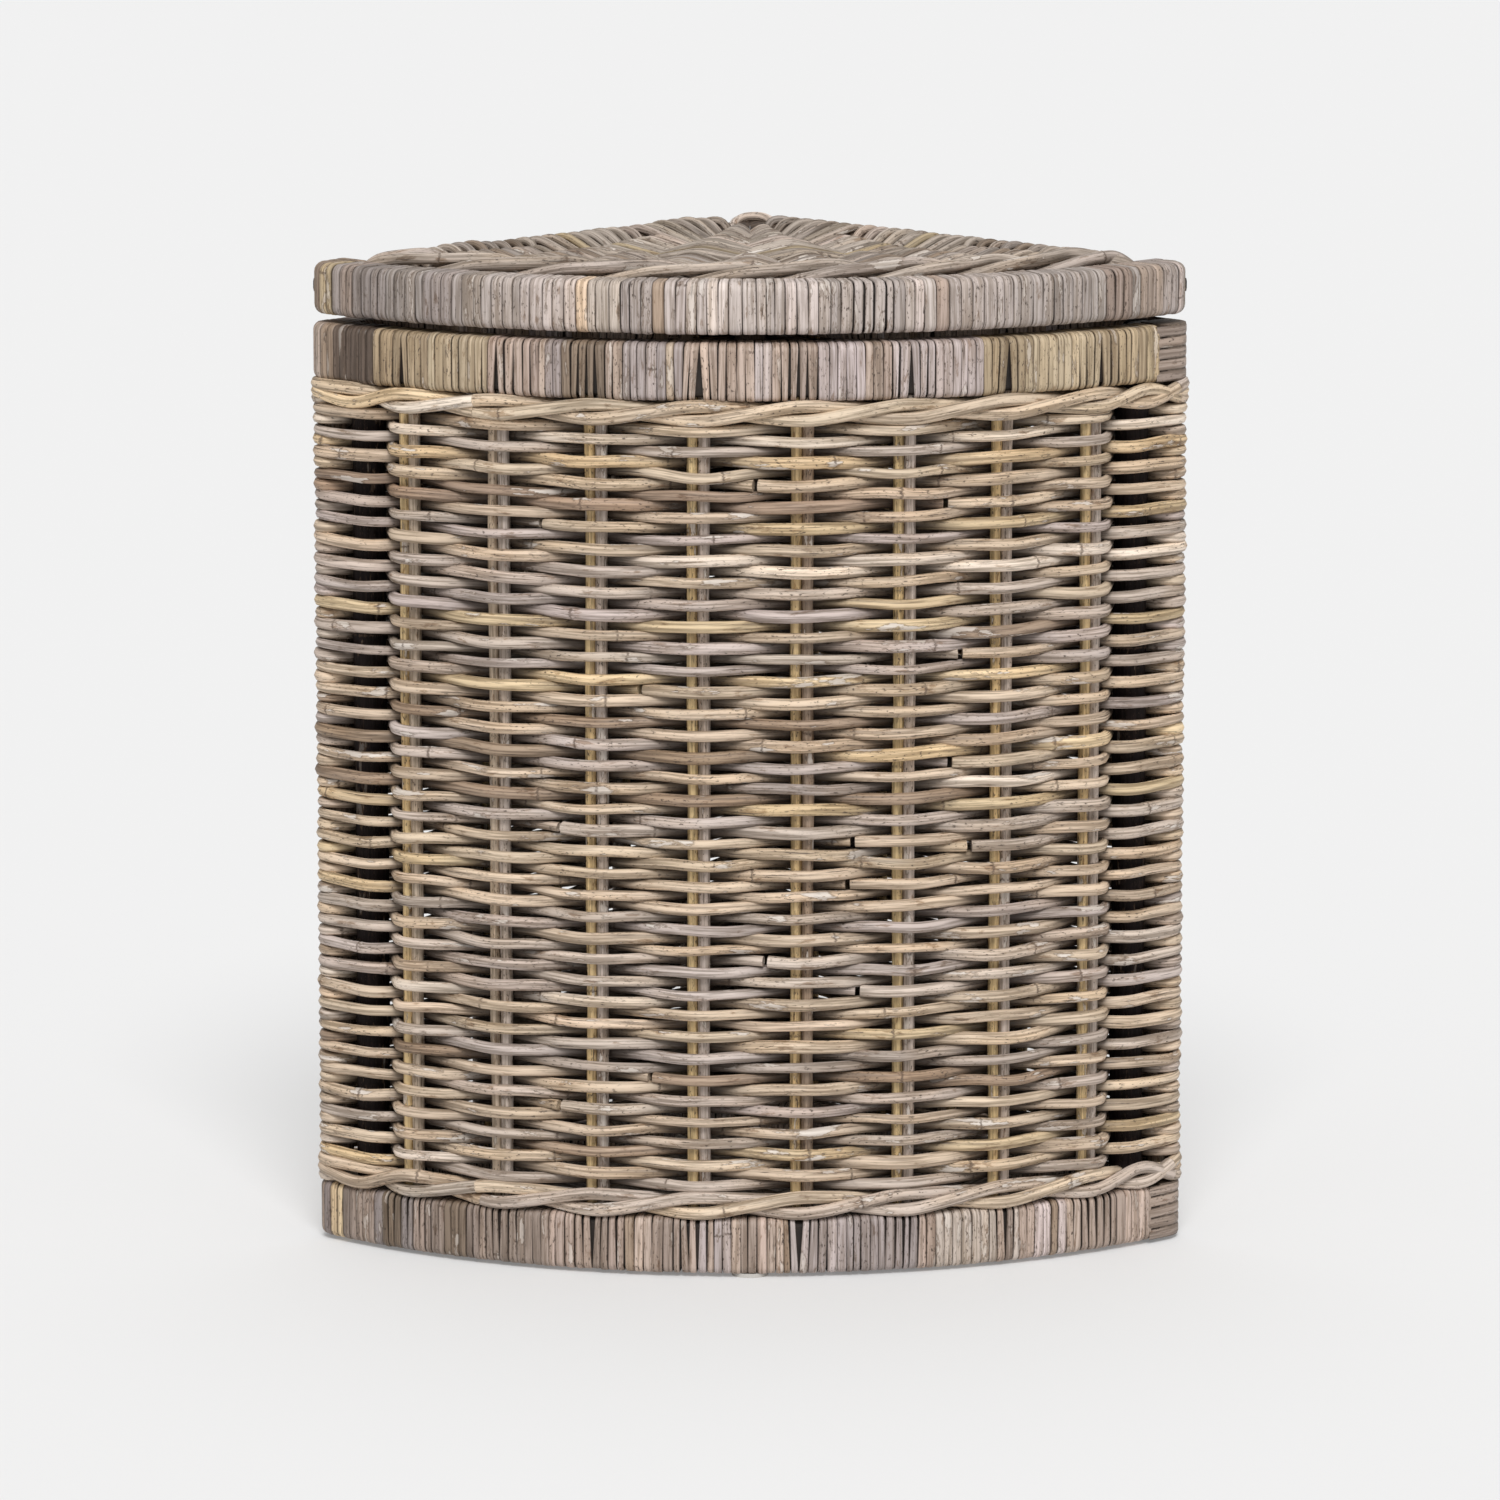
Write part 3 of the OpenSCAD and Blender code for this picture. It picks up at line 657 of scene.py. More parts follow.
def row_places(first_inside):
    """(u, t) round the whole wall for one of the two kinds of row."""
    places = []
    inside = first_inside
    for kind, u in UPRIGHTS:
        if kind == "corner":
            places += [(u - 12 * MM, OUT_T), (u, OUT_T), (u + 12 * MM, OUT_T)]
            continue
        if kind == "post":
            places += past_post(u, inside)
        else:
            on_front = U_FRONT < u < U_RIGHT_CORNER
            t = IN_T if inside else OUT_T if on_front else OUT_T + 0.7 * MM
            places += [(u - 5.5 * MM, t), (u + 5.5 * MM, t)]
        inside = not inside
    return places


def row_path(first_inside):
    places = row_places(first_inside)
    u0, t0 = places[0]
    closed = np.array(places + [(u0 + U_ALL, t0)])
    fine = resampled(closed, 1.2 * MM)[:-1]
    x, y = plan(fine[:, 0], fine[:, 1])
    depth = np.clip((fine[:, 1] - OUT_T) / (IN_T - OUT_T), 0, 1)
    path = eased(np.stack([x, y, depth * MM], 1), 3.0 * MM, 3.6 * MM, closed=True)
    return path[:, :2], path[:, 2] / MM


def split_rows(path, joints):
    """The stretches of a closed row between its joints, each a little short of the next."""
    joints = sorted(joints)
    for a, b in zip(joints, joints[1:] + [joints[0] + len(path)]):
        yield np.take(path, np.arange(a, b), axis=0, mode="wrap")


def wall_row(piece, path, depth, z, hidden):
    """One row of the wall: two or three canes whose ends meet behind stakes."""
    count = len(path)
    turns = 2 * math.pi * np.arange(count) / count
    lift = sum(rng.normal(0, 0.32 * MM) * np.sin(turns * k + rng.uniform(0, 6.28)) for k in (5, 9, 14, 23))
    out = sum(rng.normal(0, 0.18 * MM) * np.sin(turns * k + rng.uniform(0, 6.28)) for k in (7, 12, 19, 31))
    tangent = unit(np.roll(path, -1, 0) - np.roll(path, 1, 0))
    normal = np.stack([-tangent[:, 1], tangent[:, 0]], 1)
    row = np.hstack([path + normal * out[:, None], (z + lift)[:, None]])
    joints = rng.choice(hidden, 3, replace=False)
    if rng.random() < 0.4:
        joints[0] = (joints[0] + int(rng.integers(9, 15))) % count
    on_front = np.hypot(path[:, 0], BACK_Y - path[:, 1]) > 0.93 * PLAN_R
    thick = np.where(on_front, 1.0, 1.12)
    tall = np.where(on_front, 1.0, 1.14)
    for cane in split_rows(np.column_stack([row, depth, thick, tall]), joints):
        radius = ROD_R * rng.normal(1.0, 0.07) * cane[:, 4]
        # Painted shade: darker the deeper the cane goes into the wall, and on its inward side
        rod(piece, cane[:, :3], radius, pick(ROD_MIX), painted_shade=cane[:, 3], inner=0.8, tall=cane[:, 5])


def hidden_places(path, first_inside):
    """Indices of the path where the row is behind a pair of stakes."""
    found, inside = [], first_inside
    for kind, u in UPRIGHTS:
        if kind == "corner":
            continue
        if kind == "pair" and inside:
            x, y = plan(np.array([u]), np.array([IN_T]))
            found.append(int(np.hypot(path[:, 0] - x, path[:, 1] - y).argmin()))
        inside = not inside
    return found


def build_wall():
    nodes = ("front_weave", "left_weave", "right_weave", "left_corner_weave", "right_corner_weave")
    paths = {first: row_path(first) for first in (True, False)}
    hidden = {first: hidden_places(paths[first][0], first) for first in paths}
    rows = int((WEAVE_Z1 - WEAVE_Z0) / ROW_PITCH)
    pitch = (WEAVE_Z1 - WEAVE_Z0) / rows
    bands = 8
    for band in range(bands):
        piece = Piece(f"wall_weave_{band + 1}")
        for i in range(band * rows // bands, (band + 1) * rows // bands):
            first = i % 2 == 0
            wall_row(piece, *paths[first], WEAVE_Z0 + pitch * (i + 0.5), hidden[first])
        piece.finish("basket", rod_look, "rod", nodes)


# ---- The twisted bands ----

WALE_R = 3.95 * MM


def wale_strand(z0, height, start):
    """One of three strands: out over two uprights, in behind the third, and so on round."""
    places = []
    low, high = z0 + WALE_R - 1.1 * MM, z0 + height - WALE_R + 1.1 * MM
    turn = start
    for kind, u in UPRIGHTS + [("pair", UPRIGHTS[0][1] + U_ALL)]:
        if kind == "corner":
            z = low + (high - low) * ((turn % 3) / 2)
            places += [(u - 10 * MM, 0.2 * MM, z), (u + 10 * MM, 0.2 * MM, z)]
            continue
        step = turn % 3
        z = ((low + high) / 2, low, high)[step]
        t = IN_T - 0.5 * MM if step == 0 else 0.6 * MM
        places += [(u - 5 * MM, t, z), (u + 5 * MM, t, z)]
        turn += 1
    return places


def build_wale(name, node, z0, z1):
    piece = Piece(name)
    for start in range(3):
        path = eased(laid(wale_strand(z0, z1 - z0, start)), 3.0 * MM, 7 * MM)
        cuts = np.linspace(0, len(path) - 1, 4).astype(int)
        for a, b in zip(cuts[:-1], cuts[1:]):
            # Painted shade on the inward side of each strand
            rod(piece, path[a : b + 1], WALE_R * rng.normal(1, 0.04), pick(ROD_MIX), inner=0.8)
    piece.finish("basket", rod_look, "rod", (node,))


# ---- Borders bound with peel ----


def rounded_section(t0, t1, z0, z1, r, steps=4):
    """(t, z) and outward direction round a rounded rectangle, starting at its inner bottom edge."""
    points, outward = [], []
    centres = [(t1 - r, z0 + r, 270), (t1 - r, z1 - r, 0), (t0 + r, z1 - r, 90), (t0 + r, z0 + r, 180)]
    flat_parts = 4
    for (ct, cz, start), (nt, nz, _) in zip(centres, centres[1:] + centres[:1]):
        turn = [math.radians(start + 90 * i / steps) for i in range(steps + 1)]
        ways = [(math.cos(a), math.sin(a)) for a in turn]
        points += [(ct + r * c, cz + r * s) for c, s in ways]
        c, s = ways[-1]
        for share in np.arange(1, flat_parts) / flat_parts:
            points.append((ct + (nt - ct) * share + r * c, cz + (nz - cz) * share + r * s))
        outward += ways + [(c, s)] * (flat_parts - 1)
    return np.array(points), np.array(outward)


PEEL_W = 5.3 * MM
ACROSS = np.array([-1.0, -0.9, -0.5, 0.0, 0.5, 0.9, 1.0])
CROWN = np.array([-1.0, 0.1, 0.30, 0.36, 0.30, 0.1, -1.0]) * MM


def wrap_turn(piece, section, u, width, tint, lean, slit):
    """One turn of peel round a rail: slightly crowned, its edges rolled under.

    slit is how far it gives way to a stake at the bottom and at the top, and by how much.
    """
    outline, outward = section
    z = outline[:, 1]
    low, high = z.min(), z.max()
    share = (z - low) / (high - low)
    crown = CROWN * rng.uniform(0.8, 1.3) + rng.normal(0, 0.13) * MM
    open_share = np.clip(slit[1] * share + slit[0] * (1 - share), 0, 1)
    half = width / 2 * (1 - 0.30 * open_share)
    centre = u + lean * (share - 0.5) + slit[2] * open_share
    turn_u = centre[:, None] + half[:, None] * ACROSS
    turn_t = outline[:, :1] + outward[:, :1] * crown
    turn_t = np.minimum(turn_t, np.maximum(mitre(turn_u) - 0.2 * MM, 0.5 * MM))
    points = layers(*plan(turn_u, turn_t), outline[:, 1:] + outward[:, 1:] * crown)
    along = lengths(outline)[:, None]
    fibre = layers(along, ACROSS * width / 2, 0.0) + rng.uniform(0, 20, 3)
    # Painted shade at both edges of the turn, in the gaps between neighbouring turns
    edge = np.where(np.abs(ACROSS) > 0.95, 1.0, np.abs(ACROSS) ** 3 * 0.62)
    mark = layers(edge, along - rng.uniform(0, 1.0), rng.uniform(0, 1))
    piece.grid(points[:, ::-1], tint, fibre[:, ::-1], mark[:, ::-1], (True, False))


def wrap_run(piece, section, u0, u1, width, colours, slits=(), opens_down=True):
    """Turns of peel side by side from u0 to u1; a slit stays open where a stake enters.

    One strip of peel makes a few turns, so neighbours are often of one colour, except at the corners.
    """
    u = u0
    strip = colours(u0)
    while u < u1 - width * 0.5:
        w = min(width * rng.choice([0.72, 0.9, 1.0, 1.1, 1.25], p=[0.12, 0.28, 0.3, 0.2, 0.1]), u1 - u)
        centre = u + w / 2
        slit = (0, 0, 0)
        for place, gap in slits:
            away = centre - place
            if abs(away) < 2.2 * width:
                push = gap / 2 * math.copysign(1, away) * (1 - abs(away) / (2.6 * width))
                slit = (1, 0, push) if opens_down else (0, 1, push)
        open_gap = rng.uniform(0.4, 1.3) * MM if rng.random() < 0.17 else 0.0
        if rng.random() < 0.4 or 0.95 < abs(front_share(centre)) < 1.08:
            strip = colours(centre)
        tint = strip * rng.normal(1, 0.07)
        wrap_turn(piece, section, centre, w - open_gap, tint, rng.normal(0, 0.35 * MM), slit)
        u += w


TOP_STRAW = [(linear(184, 164, 134), 0.4), (linear(172, 152, 124), 0.35), (linear(192, 174, 146), 0.25)]
DUST = linear(174, 156, 143)
MAUVE = linear(172, 160, 156)


def top_colours(u):
    """Straw at both ends of the front of the top rim, grey and lilac between."""
    share = front_share(u)
    if -0.93 < share < -0.60 or 0.40 < share < 0.97:
        return 0.92 * pick(TOP_STRAW, 0.1)
    if -1.0 < share <= -0.93:
        return 0.8 * pick([(BROWN, 0.7), (DARK, 0.3)], 0.08)
    if 0.2 < share <= 0.40:
        return pick([(MAUVE, 0.75), (DUST, 0.25)], 0.1)
    return pick([(DUST, 0.62), (MAUVE, 0.2), (0.8 * BROWN, 0.12), (TAN, 0.06)], 0.13)


def base_colours(u):
    share = front_share(u)
    if -1.0 < share < -0.965:
        return pick([(STRAW, 1.0)], 0.05)
    # Darker towards the left end: painted shade, as on the bow
    dull = 1.05 - 0.44 * np.clip((-share - 0.25) / 0.4, 0, 1)
    return dull * pick([(DUST, 0.55), (MAUVE, 0.25), (BROWN, 0.12), (GREY, 0.08)], 0.14)


def side_colours(_):
    return pick([(DUST, 0.7), (MAUVE, 0.15), (BROWN, 0.15)], 0.12)


def bow_colours(u):
    share = front_share(u)
    if -1.017 < share < -0.972:
        return 0.8 * pick([(STRAW, 1.0)], 0.05)
    if share <= -1.017:
        return 0.7 * pick([(BROWN, 1.0)], 0.08)
    if -0.02 < share < 0.06:
        return pick([(0.85 * BROWN, 0.5), (DUST, 0.5)], 0.06)
    # Darker towards both ends, more on the left: painted shade where the bow turns away from the key light
    dull = 1.05 - (0.44 if share < 0 else 0.3) * min(1.0, abs(share) ** 2 * 1.3)
    return dull * pick([(ASH, 0.70), (DUST, 0.15), (GREY, 0.08), (PEACH, 0.03), (BROWN, 0.04)], 0.13)


def stake_slits(gap):
    return [(u, gap * max(0.0, rng.normal(0.7, 0.6))) for kind, u in UPRIGHTS if kind == "pair"]


def flat_strip(piece, u, z, across, rise, shift, tint):
    """A strip of peel that lies along a rim, from its places u and heights z and its cross section."""
    points = layers(*plan(u[:, None], rise), z[:, None] + across)
    fibre = layers(u[:, None], across, 0.0) + shift
    # Painted shade at the strip's edges, in the gaps between neighbouring strips
    mark = layers((np.abs(across) / across[-1]) ** 4, 0.2, 0.3)
    piece.grid(points, tint, fibre, mark)


def bare_strips(piece, u0, u1, z0, z1, count, tint):
    """Flat strips of peel, one above the other, round a corner that is left unbound."""
    height = (z1 - z0) / count
    u = np.linspace(u0, u1, 40)
    tilt = np.linspace(-0.4, 0.4, 40) * MM
    across = np.array([-1.0, -0.9, -0.5, 0.5, 0.9, 1.0]) * height / 2 * 0.98
    rise = np.array([1.0, 0.0, -0.4, -0.4, 0.0, 1.0]) * MM
    for i in range(count):
        shift = rng.uniform(0, 20, 3)
        z = z0 + height * (i + 0.5) + tilt
        flat_strip(piece, u, z, across, rise, shift, tint * rng.uniform(0.75, 1.15))


def build_rim(prefix, z0, z1, colours, opens_down):
    """The three bound stretches and the corners of one rim of the basket."""
    section = rounded_section(0, RIM_W, z0, z1, RIM_EDGE)
    bound_u, bare_u = U_LEFT_CORNER + 3 * MM, front_u(BARE_A)
    front = Piece(f"{prefix}_front_peel")
    slits = stake_slits((2.4 if opens_down else 1.9) * MM)
    wrap_run(front, section, bound_u, bare_u, PEEL_W, colours, slits, opens_down)
    nodes = (f"{prefix}_front_binding", f"{prefix}_left_corner")
    front.finish("basket", peel_look, "peel", nodes)
    sides = Piece(f"{prefix}_side_peel")
    for u0, u1 in ((0, bound_u), (right_u(SIDE_END - 22 * MM), U_ALL)):
        wrap_run(sides, section, u0, u1, PEEL_W, side_colours, slits, opens_down)
    nodes = (f"{prefix}_left_binding", f"{prefix}_right_binding", f"{prefix}_back_corner")
    sides.finish("basket", peel_look, "peel", nodes)
    corner = Piece(f"{prefix}_corner_strips")
    bare_strips(corner, bare_u - 4 * MM, right_u(SIDE_END - 27 * MM), z0, z1, 5, linear(158, 142, 130))
    corner.finish("basket", peel_look, "peel")


# ---- Stakes and posts ----


def upright_rod(piece, x, y, z0, z1, radius, tint, sides=10):
    z = np.linspace(z0, z1, int((z1 - z0) / (6 * MM)))
    path = np.stack([x + waves(z, 0.25, 0.25 * MM), y + waves(z, 0.3, 0.25 * MM), z], 1)
    rod(piece, path, radius, tint, sides, upright=False)


def build_stakes():
    front, sides = Piece("stakes_front"), Piece("stakes_sides")
    shift = 3.5 * MM
    for kind, u in UPRIGHTS:
        if kind != "pair":
            continue
        piece = front if U_FRONT < u < U_RIGHT_CORNER else sides
        for place, radius, mix in (
            (u - shift, 3.3 * MM, [(STAKE_STRAW, 0.8), (TAN, 0.2)]),
            (u + shift, 3.7 * MM, [(GREY, 0.5), (TAN, 0.35), (BROWN, 0.15)]),
        ):
            x, y = plan(np.array([place]), np.array([STAKE_T]))
            upright_rod(piece, x[0], y[0], STAKE_Z0, STAKE_Z1, radius, pick(mix))
    front.finish("basket", stake_look, "rod", ("front_stakes",))
    sides.finish("basket", stake_look, "rod", ("left_stakes", "right_stakes"))


def node_middle(node):
    low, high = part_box(node)
    return (low + high) / 2, (high - low).x / 2, low.z, high.z


def build_posts():
    for name, nodes, mix in (
        ("corner_stakes", ("left_corner_stake", "right_corner_stake", "back_corner_stake"), [(BROWN, 1.0)]),
        ("back_pole", ("back_post",), [(DARK, 1.0)]),
        # The front posts are near black: painted shade for the dark void round them at the front corners
        ("front_posts", ("left_post", "right_post"), [(0.2 * DARK, 1.0)]),
    ):
        piece = Piece(name)
        for node in nodes:
            middle, radius, z0, z1 = node_middle(node)
            upright_rod(piece, middle.x, middle.y, z0, z1, radius, 0.6 * pick(mix), 16)
        piece.finish("basket", post_look, "rod", nodes)


# ---- Woven panels: rows round the back corner, spokes from it ----

LONG_SPOKES = [math.radians(a) for a in (-27, -9, 9, 27)]
SHORT_SPOKES = [math.radians(a) for a in (-36, -18, 0, 18, 36)]
SHORT_R = 0.55 * PLAN_R
SPOKE_R = 3.0 * MM
PANEL_ROD_R = 2.7 * MM
PANEL_PITCH = 5.3 * MM


def from_corner(r, angle):
    """x and y at a distance from the sharp back corner and an angle from the middle."""
    return r * np.sin(angle), BACK_Y - r * np.cos(angle)


def beside_side(r, t, side):
    """x and y at the radius r and the distance t in from the left (-1) or right (1) side."""
    angle = side * (math.pi / 4 - np.arcsin(t / r))
    return from_corner(r, angle)


def row_spokes(r):
    found = [a for a in LONG_SPOKES if abs(a) < 0.2 or r > 125 * MM]
    if r > SHORT_R + 4 * MM:
        found = found + SHORT_SPOKES
    return sorted(found)


def lid_level(r):
    """Height of the middle of the lid panel: it rises towards the bow and dips under its edge."""
    rise = np.clip((r - 200 * MM) / (90 * MM), 0, 1)
    dip = np.clip((r - 306 * MM) / (20 * MM), 0, 1)
    return LID_TOP - 13.6 * MM + 3.8 * MM * rise - 5.5 * MM * dip


def at_hinge(r, side):
    return side < 0 and any(abs(r - s) < HINGE_HALF - 1 * MM for s in HINGE_PLACES)


def round_pole(r, side, degrees, reach):
    """A place on the way round a pole of the lid, from 0 on its inner side."""
    a = math.radians(degrees)
    x, y = beside_side(r, POLE_T + reach * math.cos(a), side)
    return x, y, LID_Z + reach * math.sin(a)


def pole_reach(r, side):
    """How far a rod stays from the middle of a pole; beside the hinges it passes over the loops."""
    return POLE_R + PANEL_ROD_R + (1.3 if at_hinge(r, side) else 0.1) * MM


def pole_turn(r, r_next, side):
    """Places from over a pole to under it, or to its outer side beside the hinges."""
    places = []
    for i in range(7 if at_hinge(r, side) else 13):
        share = np.clip((i - 2) / 8, 0, 1)
        places.append(round_pole(r + (r_next - r) * share, side, 70 + 220 * i / 12, pole_reach(r, side)))
    return places


def lid_row(piece, r, index, radius, tint):
    """One row of the lid, with the turns round the poles that belong to it."""
    spokes = row_spokes(r)
    level = lid_level(r)
    lift = PANEL_ROD_R + SPOKE_R - 0.2 * MM
    over = index % 2 == 0
    over_last = over == (len(spokes) % 2 == 1)
    step = PANEL_PITCH / 2 if over else -PANEL_PITCH / 2
    ends = []
    for side, above in ((-1, over), (1, over_last)):
        near = r + side * step
        under = round_pole(near, side, 290, pole_reach(near, side))
        ends.append(pole_turn(r, near, side) if above else [under])
    places = ends[0][::-1]
    above = not over
    for a in spokes:
        z = level + (lift if above else -lift)
        for da in (-2.2 * MM / r, 2.2 * MM / r):
            places.append((*from_corner(r, a + da), z))
        above = not above
    places += ends[1]
    path = eased(follow_arc(np.array(places)), 2.6 * MM, 3.2 * MM)
    path[:, 2] += waves(lengths(path), 0.11, 0.16 * MM)
    # Painted shade where the row dips under the spokes
    painted_shade = 0.8 * sunk(path, level, lift)
    rod(piece, path, radius, tint, upright=False, painted_shade=painted_shade)


def sunk(path, level, lift):
    """How deep a row lies under the spokes, 0 to 1, left out round the poles."""
    r, angle, z = polar(path.T)
    inside = np.clip((r * np.sin(math.pi / 4 - np.abs(angle)) - 36 * MM) / (8 * MM), 0, 1)
    return inside * np.clip((level + 1.5 * MM - z) / lift, 0, 1)


def polar(place):
    """Distance from the sharp back corner, angle from the middle, and height."""
    x, y, z = place
    return np.array([np.hypot(x, BACK_Y - y), np.arctan2(x, BACK_Y - y), z])


def follow_arc(points):
    """Adds places between distant ones so that a row keeps to its circle."""
    found = [points[0]]
    for p, q in zip(points[:-1], points[1:]):
        steps = max(1, int(np.linalg.norm(q[:2] - p[:2]) / (4 * MM)))
        for i in range(1, steps + 1):
            r, angle, z = polar(p) + (polar(q) - polar(p)) * (i / steps)
            found.append((*from_corner(r, angle), z))
    return np.array(found)


# The lid's canes are darker than the wall's: a greyer tone, and painted shade on the lid's top, which the
# high key light strikes more than the front
LID_TAN = linear(166, 153, 141)
LID_MIX = [(LID_TAN, 0.62), (0.7 * GREY, 0.2), (0.7 * LILAC, 0.06), (0.7 * STRAW, 0.07), (0.7 * BROWN, 0.05)]
LID_EDGE_MIX = [(1.25 * colour, share) for colour, share in LID_MIX]


def build_spokes(piece, angles, r0, r1, height):
    for angle in angles:
        r = np.arange(r0, r1, 5 * MM)
        path = layers(*from_corner(r, angle), [height(v) for v in r])
        rod(piece, path, SPOKE_R, pick([(TAN, 1.0)]))


def build_lid_panel():
    out = PLAN_R - 54 * MM - PANEL_ROD_R
    rows = int((out - 44 * MM) / PANEL_PITCH)
    cuts = [0, rows // 4, rows // 2, rows]
    for k in range(3):
        piece = Piece(f"lid_panel_weave_{k + 1}")
        for i in range(cuts[k], cuts[k + 1]):
            if i == cuts[k] or rng.random() < 0.45:
                radius, tint = PANEL_ROD_R * rng.normal(1, 0.04), pick(LID_MIX)
            lid_row(piece, out - PANEL_PITCH * i, i, radius, tint * rng.uniform(0.94, 1.06))
        piece.finish("lid", rod_look, "rod", ("lid_panel", "lid_left_wrap", "lid_right_wrap"))
    piece = Piece("lid_spokes")
    left, *inner, right = LONG_SPOKES
    for angles, begin in (([left], 96 * MM), (inner, 52 * MM), ([right], 96 * MM), (SHORT_SPOKES, SHORT_R)):
        build_spokes(piece, angles, begin, PLAN_R - 30 * MM, lid_level)
    piece.finish("lid", stake_look, "rod", ("lid_long_spokes", "lid_short_spokes"))


def edge_rod(piece, r):
    """A rod under the spokes that closes the band between the panel and the bow."""
    reach = math.pi / 4 - math.asin((POLE_T + 0.3 * POLE_R) / r)
    angles = np.linspace(-reach, reach, 160)
    x, y = from_corner(r + waves(angles * r, 0.12, 0.4 * MM), angles)
    z = lid_level(r) - SPOKE_R - 3.2 * MM + waves(angles * r, 0.07, 0.5 * MM)
    rod(piece, np.stack([x, y, z], 1), 3.4 * MM, 0.8 * pick(LID_MIX))


def lid_wale_place(at_end, beyond, step):
    """r and height of a strand under, over the outer side of, or over the inner side of a spoke."""
    r_low, r_high = PLAN_R - 56 * MM, PLAN_R - 31.5 * MM
    if at_end:
        return r_high - 1 * MM, LID_TOP - 15 * MM
    if beyond:
        return r_high - (2.0, 5.0, 9.0)[step] * MM, LID_TOP - (6.0, 3.6, 2.4)[step] * MM
    r = ((r_low + r_high) / 2 + 4 * MM, r_high - 1 * MM, r_low + 3 * MM)[step]
    return r, LID_TOP - (14.5, 1.8, 0.4)[step] * MM


def build_lid_wale():
    """Three strands twisted round the edge of the panel, lying against the bow."""
    piece = Piece("lid_wale_strands")
    shoulder, end = math.radians(40.3), math.radians(42.6)
    stops = [-end, -shoulder] + sorted(LONG_SPOKES + SHORT_SPOKES) + [shoulder, end]
    last = len(stops) - 1
    for start in range(3):
        places = []
        for i, a in enumerate(stops):
            r, z = lid_wale_place(i in (0, last), i in (1, last - 1), (i + start) % 3)
            for da in (-2.5 * MM / r, 2.5 * MM / r):
                places.append((*from_corner(r, a + da), z))
        path = eased(follow_arc(np.array(places)), 3 * MM, 7 * MM)
        rod(piece, path, 3.8 * MM * rng.normal(1, 0.04), pick(LID_EDGE_MIX))
    for r in np.linspace(PLAN_R - 50 * MM, PLAN_R - 34 * MM, 3):
        edge_rod(piece, r)
    piece.finish("lid", rod_look, "rod", ("lid_wale",))


# ---- The bow and the corners of the lid ----


def build_bow():
    section = rounded_section(1 * MM, 29 * MM, BOW_Z0, BOW_Z1, 5.5 * MM, 5)
    piece = Piece("lid_bow_peel")
    wrap_run(piece, section, U_LEFT_CORNER - 12.8 * MM, U_RIGHT + 12.8 * MM, 6.6 * MM, bow_colours)
    nodes = ("lid_front_binding", "lid_left_corner", "lid_right_corner")
    piece.finish("lid", peel_look, "peel", nodes)


def build_straps():
    """A strap of peel round each front corner of the lid."""
    piece = Piece("lid_straps")
    across = np.array([-4.0, -3.9, -2.0, 2.0, 3.9, 4.0]) * MM
    rise = np.array([1.2, -0.2, -0.55, -0.55, -0.2, 1.2]) * MM
    for corner, behind, ahead in ((U_LEFT_CORNER, 12, 11), (U_RIGHT, 11, 12)):
        u = np.linspace(corner - behind * MM, corner + ahead * MM, 24)
        z = np.full(len(u), LID_Z + 1.2 * MM)
        shift = rng.uniform(0, 20, 3)
        flat_strip(piece, u, z, across, rise, shift, pick([(BROWN, 1.0)]))
    piece.finish("lid", peel_look, "peel", ("lid_corner_straps",))


def build_back_corner():
    """Thin canes bound over the joint of the two poles, and the loop that arches over them."""
    piece = Piece("lid_arch")
    surface = POLE_R + 0.6 * MM
    for r in np.arange(18.0, 33.0, 4.2) * MM:
        reach = math.pi / 4 - math.asin((POLE_T - surface) / r)
        angles = np.linspace(-reach, reach, 40)
        t = np.minimum(r * np.sin(math.pi / 4 - np.abs(angles)), POLE_T)
        x, y = from_corner(r, angles)
        z = LID_Z + np.sqrt(np.maximum(surface**2 - (POLE_T - t) ** 2, 0))
        rod(piece, np.stack([x, y, z], 1), 2.1 * MM, pick(LID_MIX))
    half = np.array([(0.0, -31, -4), (7, -33, -4.6), (12, -39, -6.8), (14, -48, -10), (11, -58, -15)])
    places = np.vstack([half[:0:-1] * (-1, 1, 1), half]) * MM + (2.5 * MM, BACK_Y, LID_TOP)
    rod(piece, eased(places, 1.5 * MM, 2.5 * MM), 2.9 * MM, pick(LID_EDGE_MIX))
    piece.finish("lid", rod_look, "rod", ("lid_back_loop",))


# ---- Base panel ----


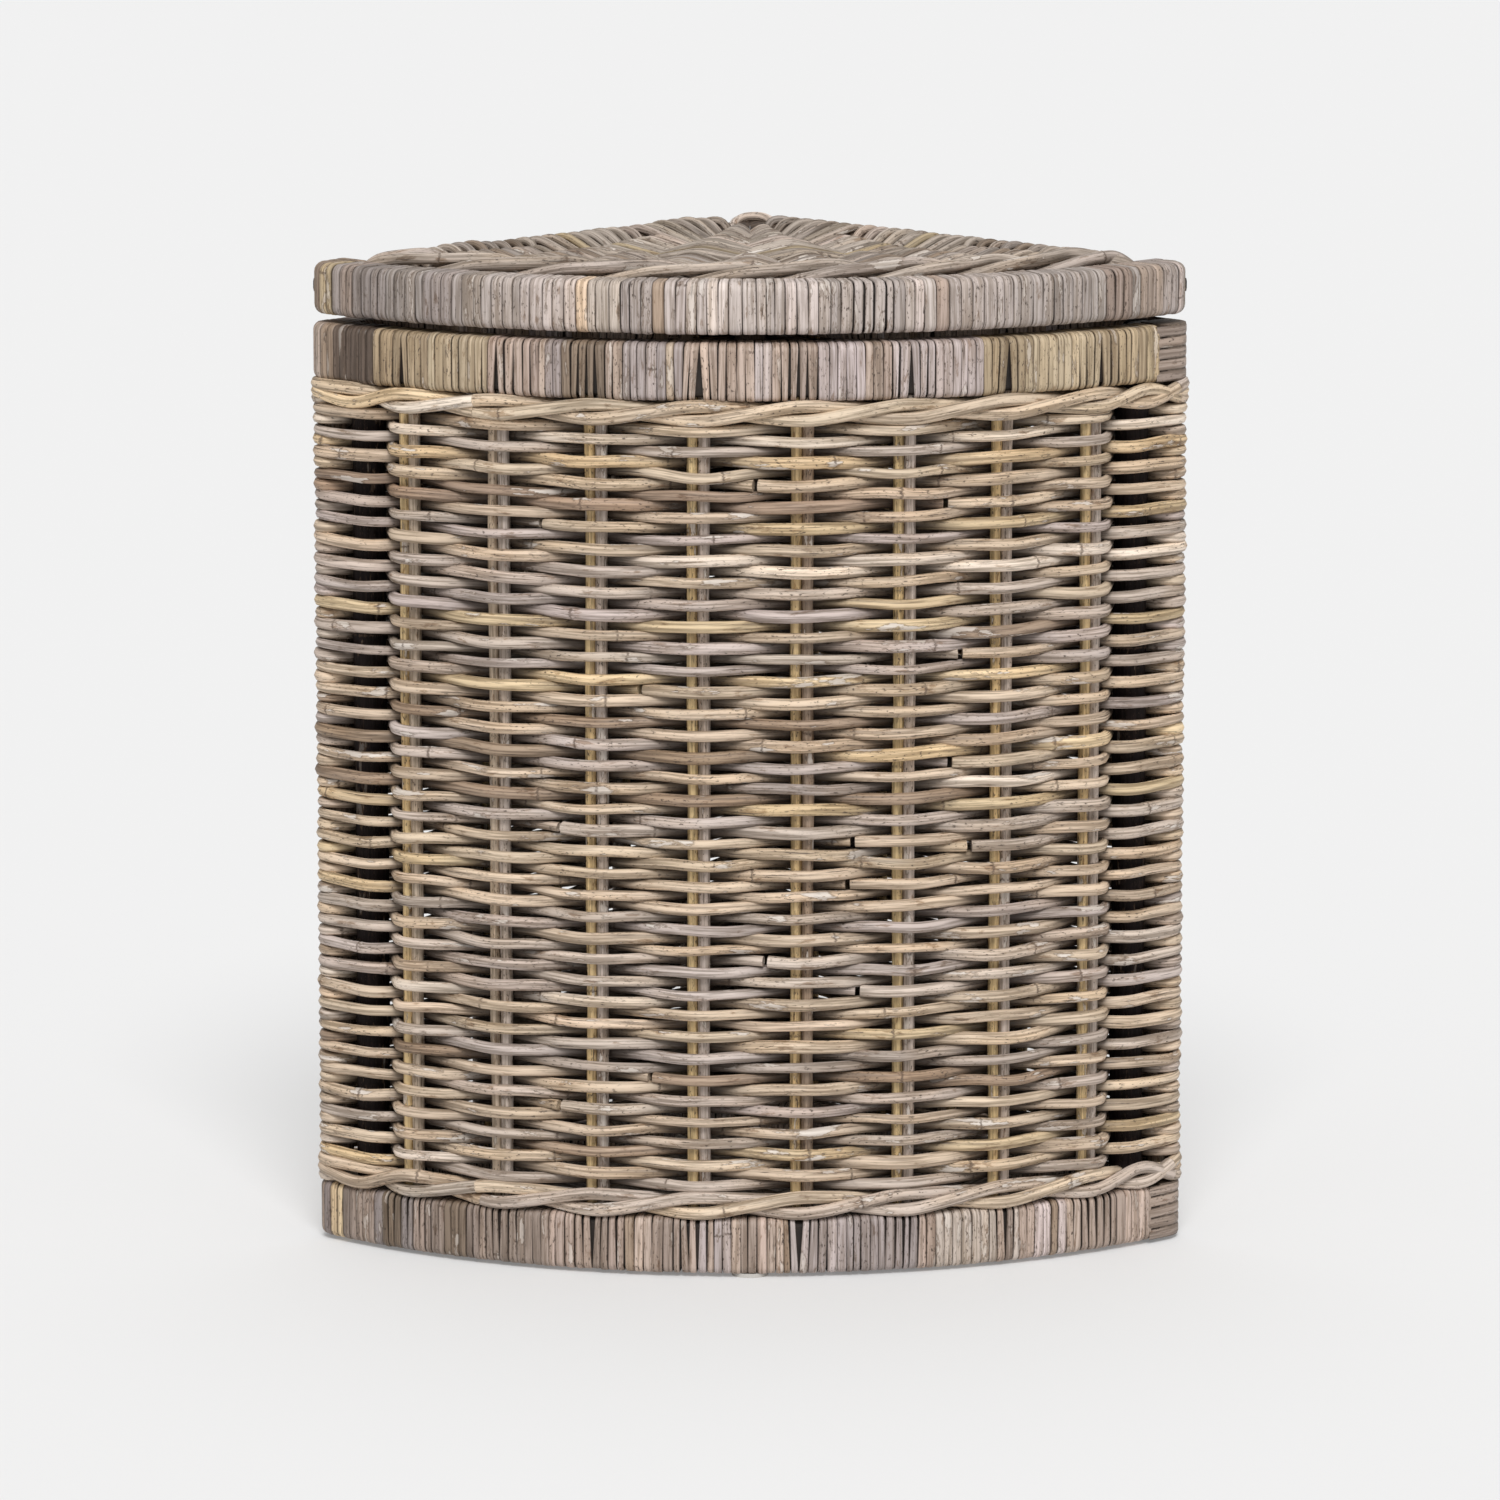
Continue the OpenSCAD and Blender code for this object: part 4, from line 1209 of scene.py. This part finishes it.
def base_row(piece, r, over):
    """One row of the base, from side to side."""
    lift = PANEL_ROD_R + SPOKE_R - 0.2 * MM
    edge = math.pi / 4 - math.asin(min(0.95, (RIM_W + 3 * MM) / r))
    places = [(*from_corner(r, -edge), BASE_PANEL_Z + (lift if over else -lift) * 0.5)]
    above = not over
    for a in row_spokes(r):
        if abs(a) < edge:
            places.append((*from_corner(r, a), BASE_PANEL_Z + (lift if above else -lift)))
        above = not above
    places.append((*from_corner(r, edge), BASE_PANEL_Z + (lift if above else -lift) * 0.5))
    path = eased(follow_arc(np.array(places)), 4 * MM, 4 * MM)
    rod(piece, path, PANEL_ROD_R * rng.normal(1, 0.04), pick(LID_MIX), 6)


def build_base():
    piece = Piece("base_panel_weave")
    out = PLAN_R - RIM_W - PANEL_ROD_R - 0.5 * MM
    rows = int((out - 60 * MM) / PANEL_PITCH)
    for i in range(rows):
        base_row(piece, out - PANEL_PITCH * i, i % 2 == 0)
    for angles, begin in ((LONG_SPOKES, 70 * MM), (SHORT_SPOKES, SHORT_R)):
        build_spokes(piece, angles, begin, PLAN_R - RIM_W, lambda r: BASE_PANEL_Z)
    piece.finish("basket", rod_look, "rod", ("base_panel", "base_spokes"))


# ---- CAD nodes that stay ----


def dress(node, material, bevel=0.0):
    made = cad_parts[node]
    made.data.materials.clear()
    made.data.materials.append(material)
    for polygon in made.data.polygons:
        polygon.use_smooth = True
    if bevel:
        edge = made.modifiers.new("edge", "BEVEL")
        edge.width = bevel
        edge.segments = 2
        edge.limit_method = "ANGLE"


def dress_frame():
    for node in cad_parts:
        if node.endswith("_rail"):
            dress(node, rail_look)
        elif node in ("lid_left_pole", "lid_right_pole", "hinge_canes"):
            dress(node, pole_look)
        elif node in ("base_right_corner", "top_right_corner"):
            dress(node, core_look)
        elif node in ("body_hinge_loops", "lid_hinge_loops"):
            dress(node, loop_look, 0.4 * MM)
        elif node == "glides":
            dress(node, glide_look, 0.5 * MM)


build_wall()
build_wale("wale_low", "low_wale", BASE_Z1, WEAVE_Z0)
build_wale("wale_high", "high_wale", WEAVE_Z1, TOP_Z0)
build_rim("base", BASE_Z0, BASE_Z1, base_colours, False)
build_rim("top", TOP_Z0, TOP_Z1, top_colours, True)
build_stakes()
build_posts()
build_lid_panel()
build_lid_wale()
build_bow()
build_straps()
build_back_corner()
build_base()
dress_frame()
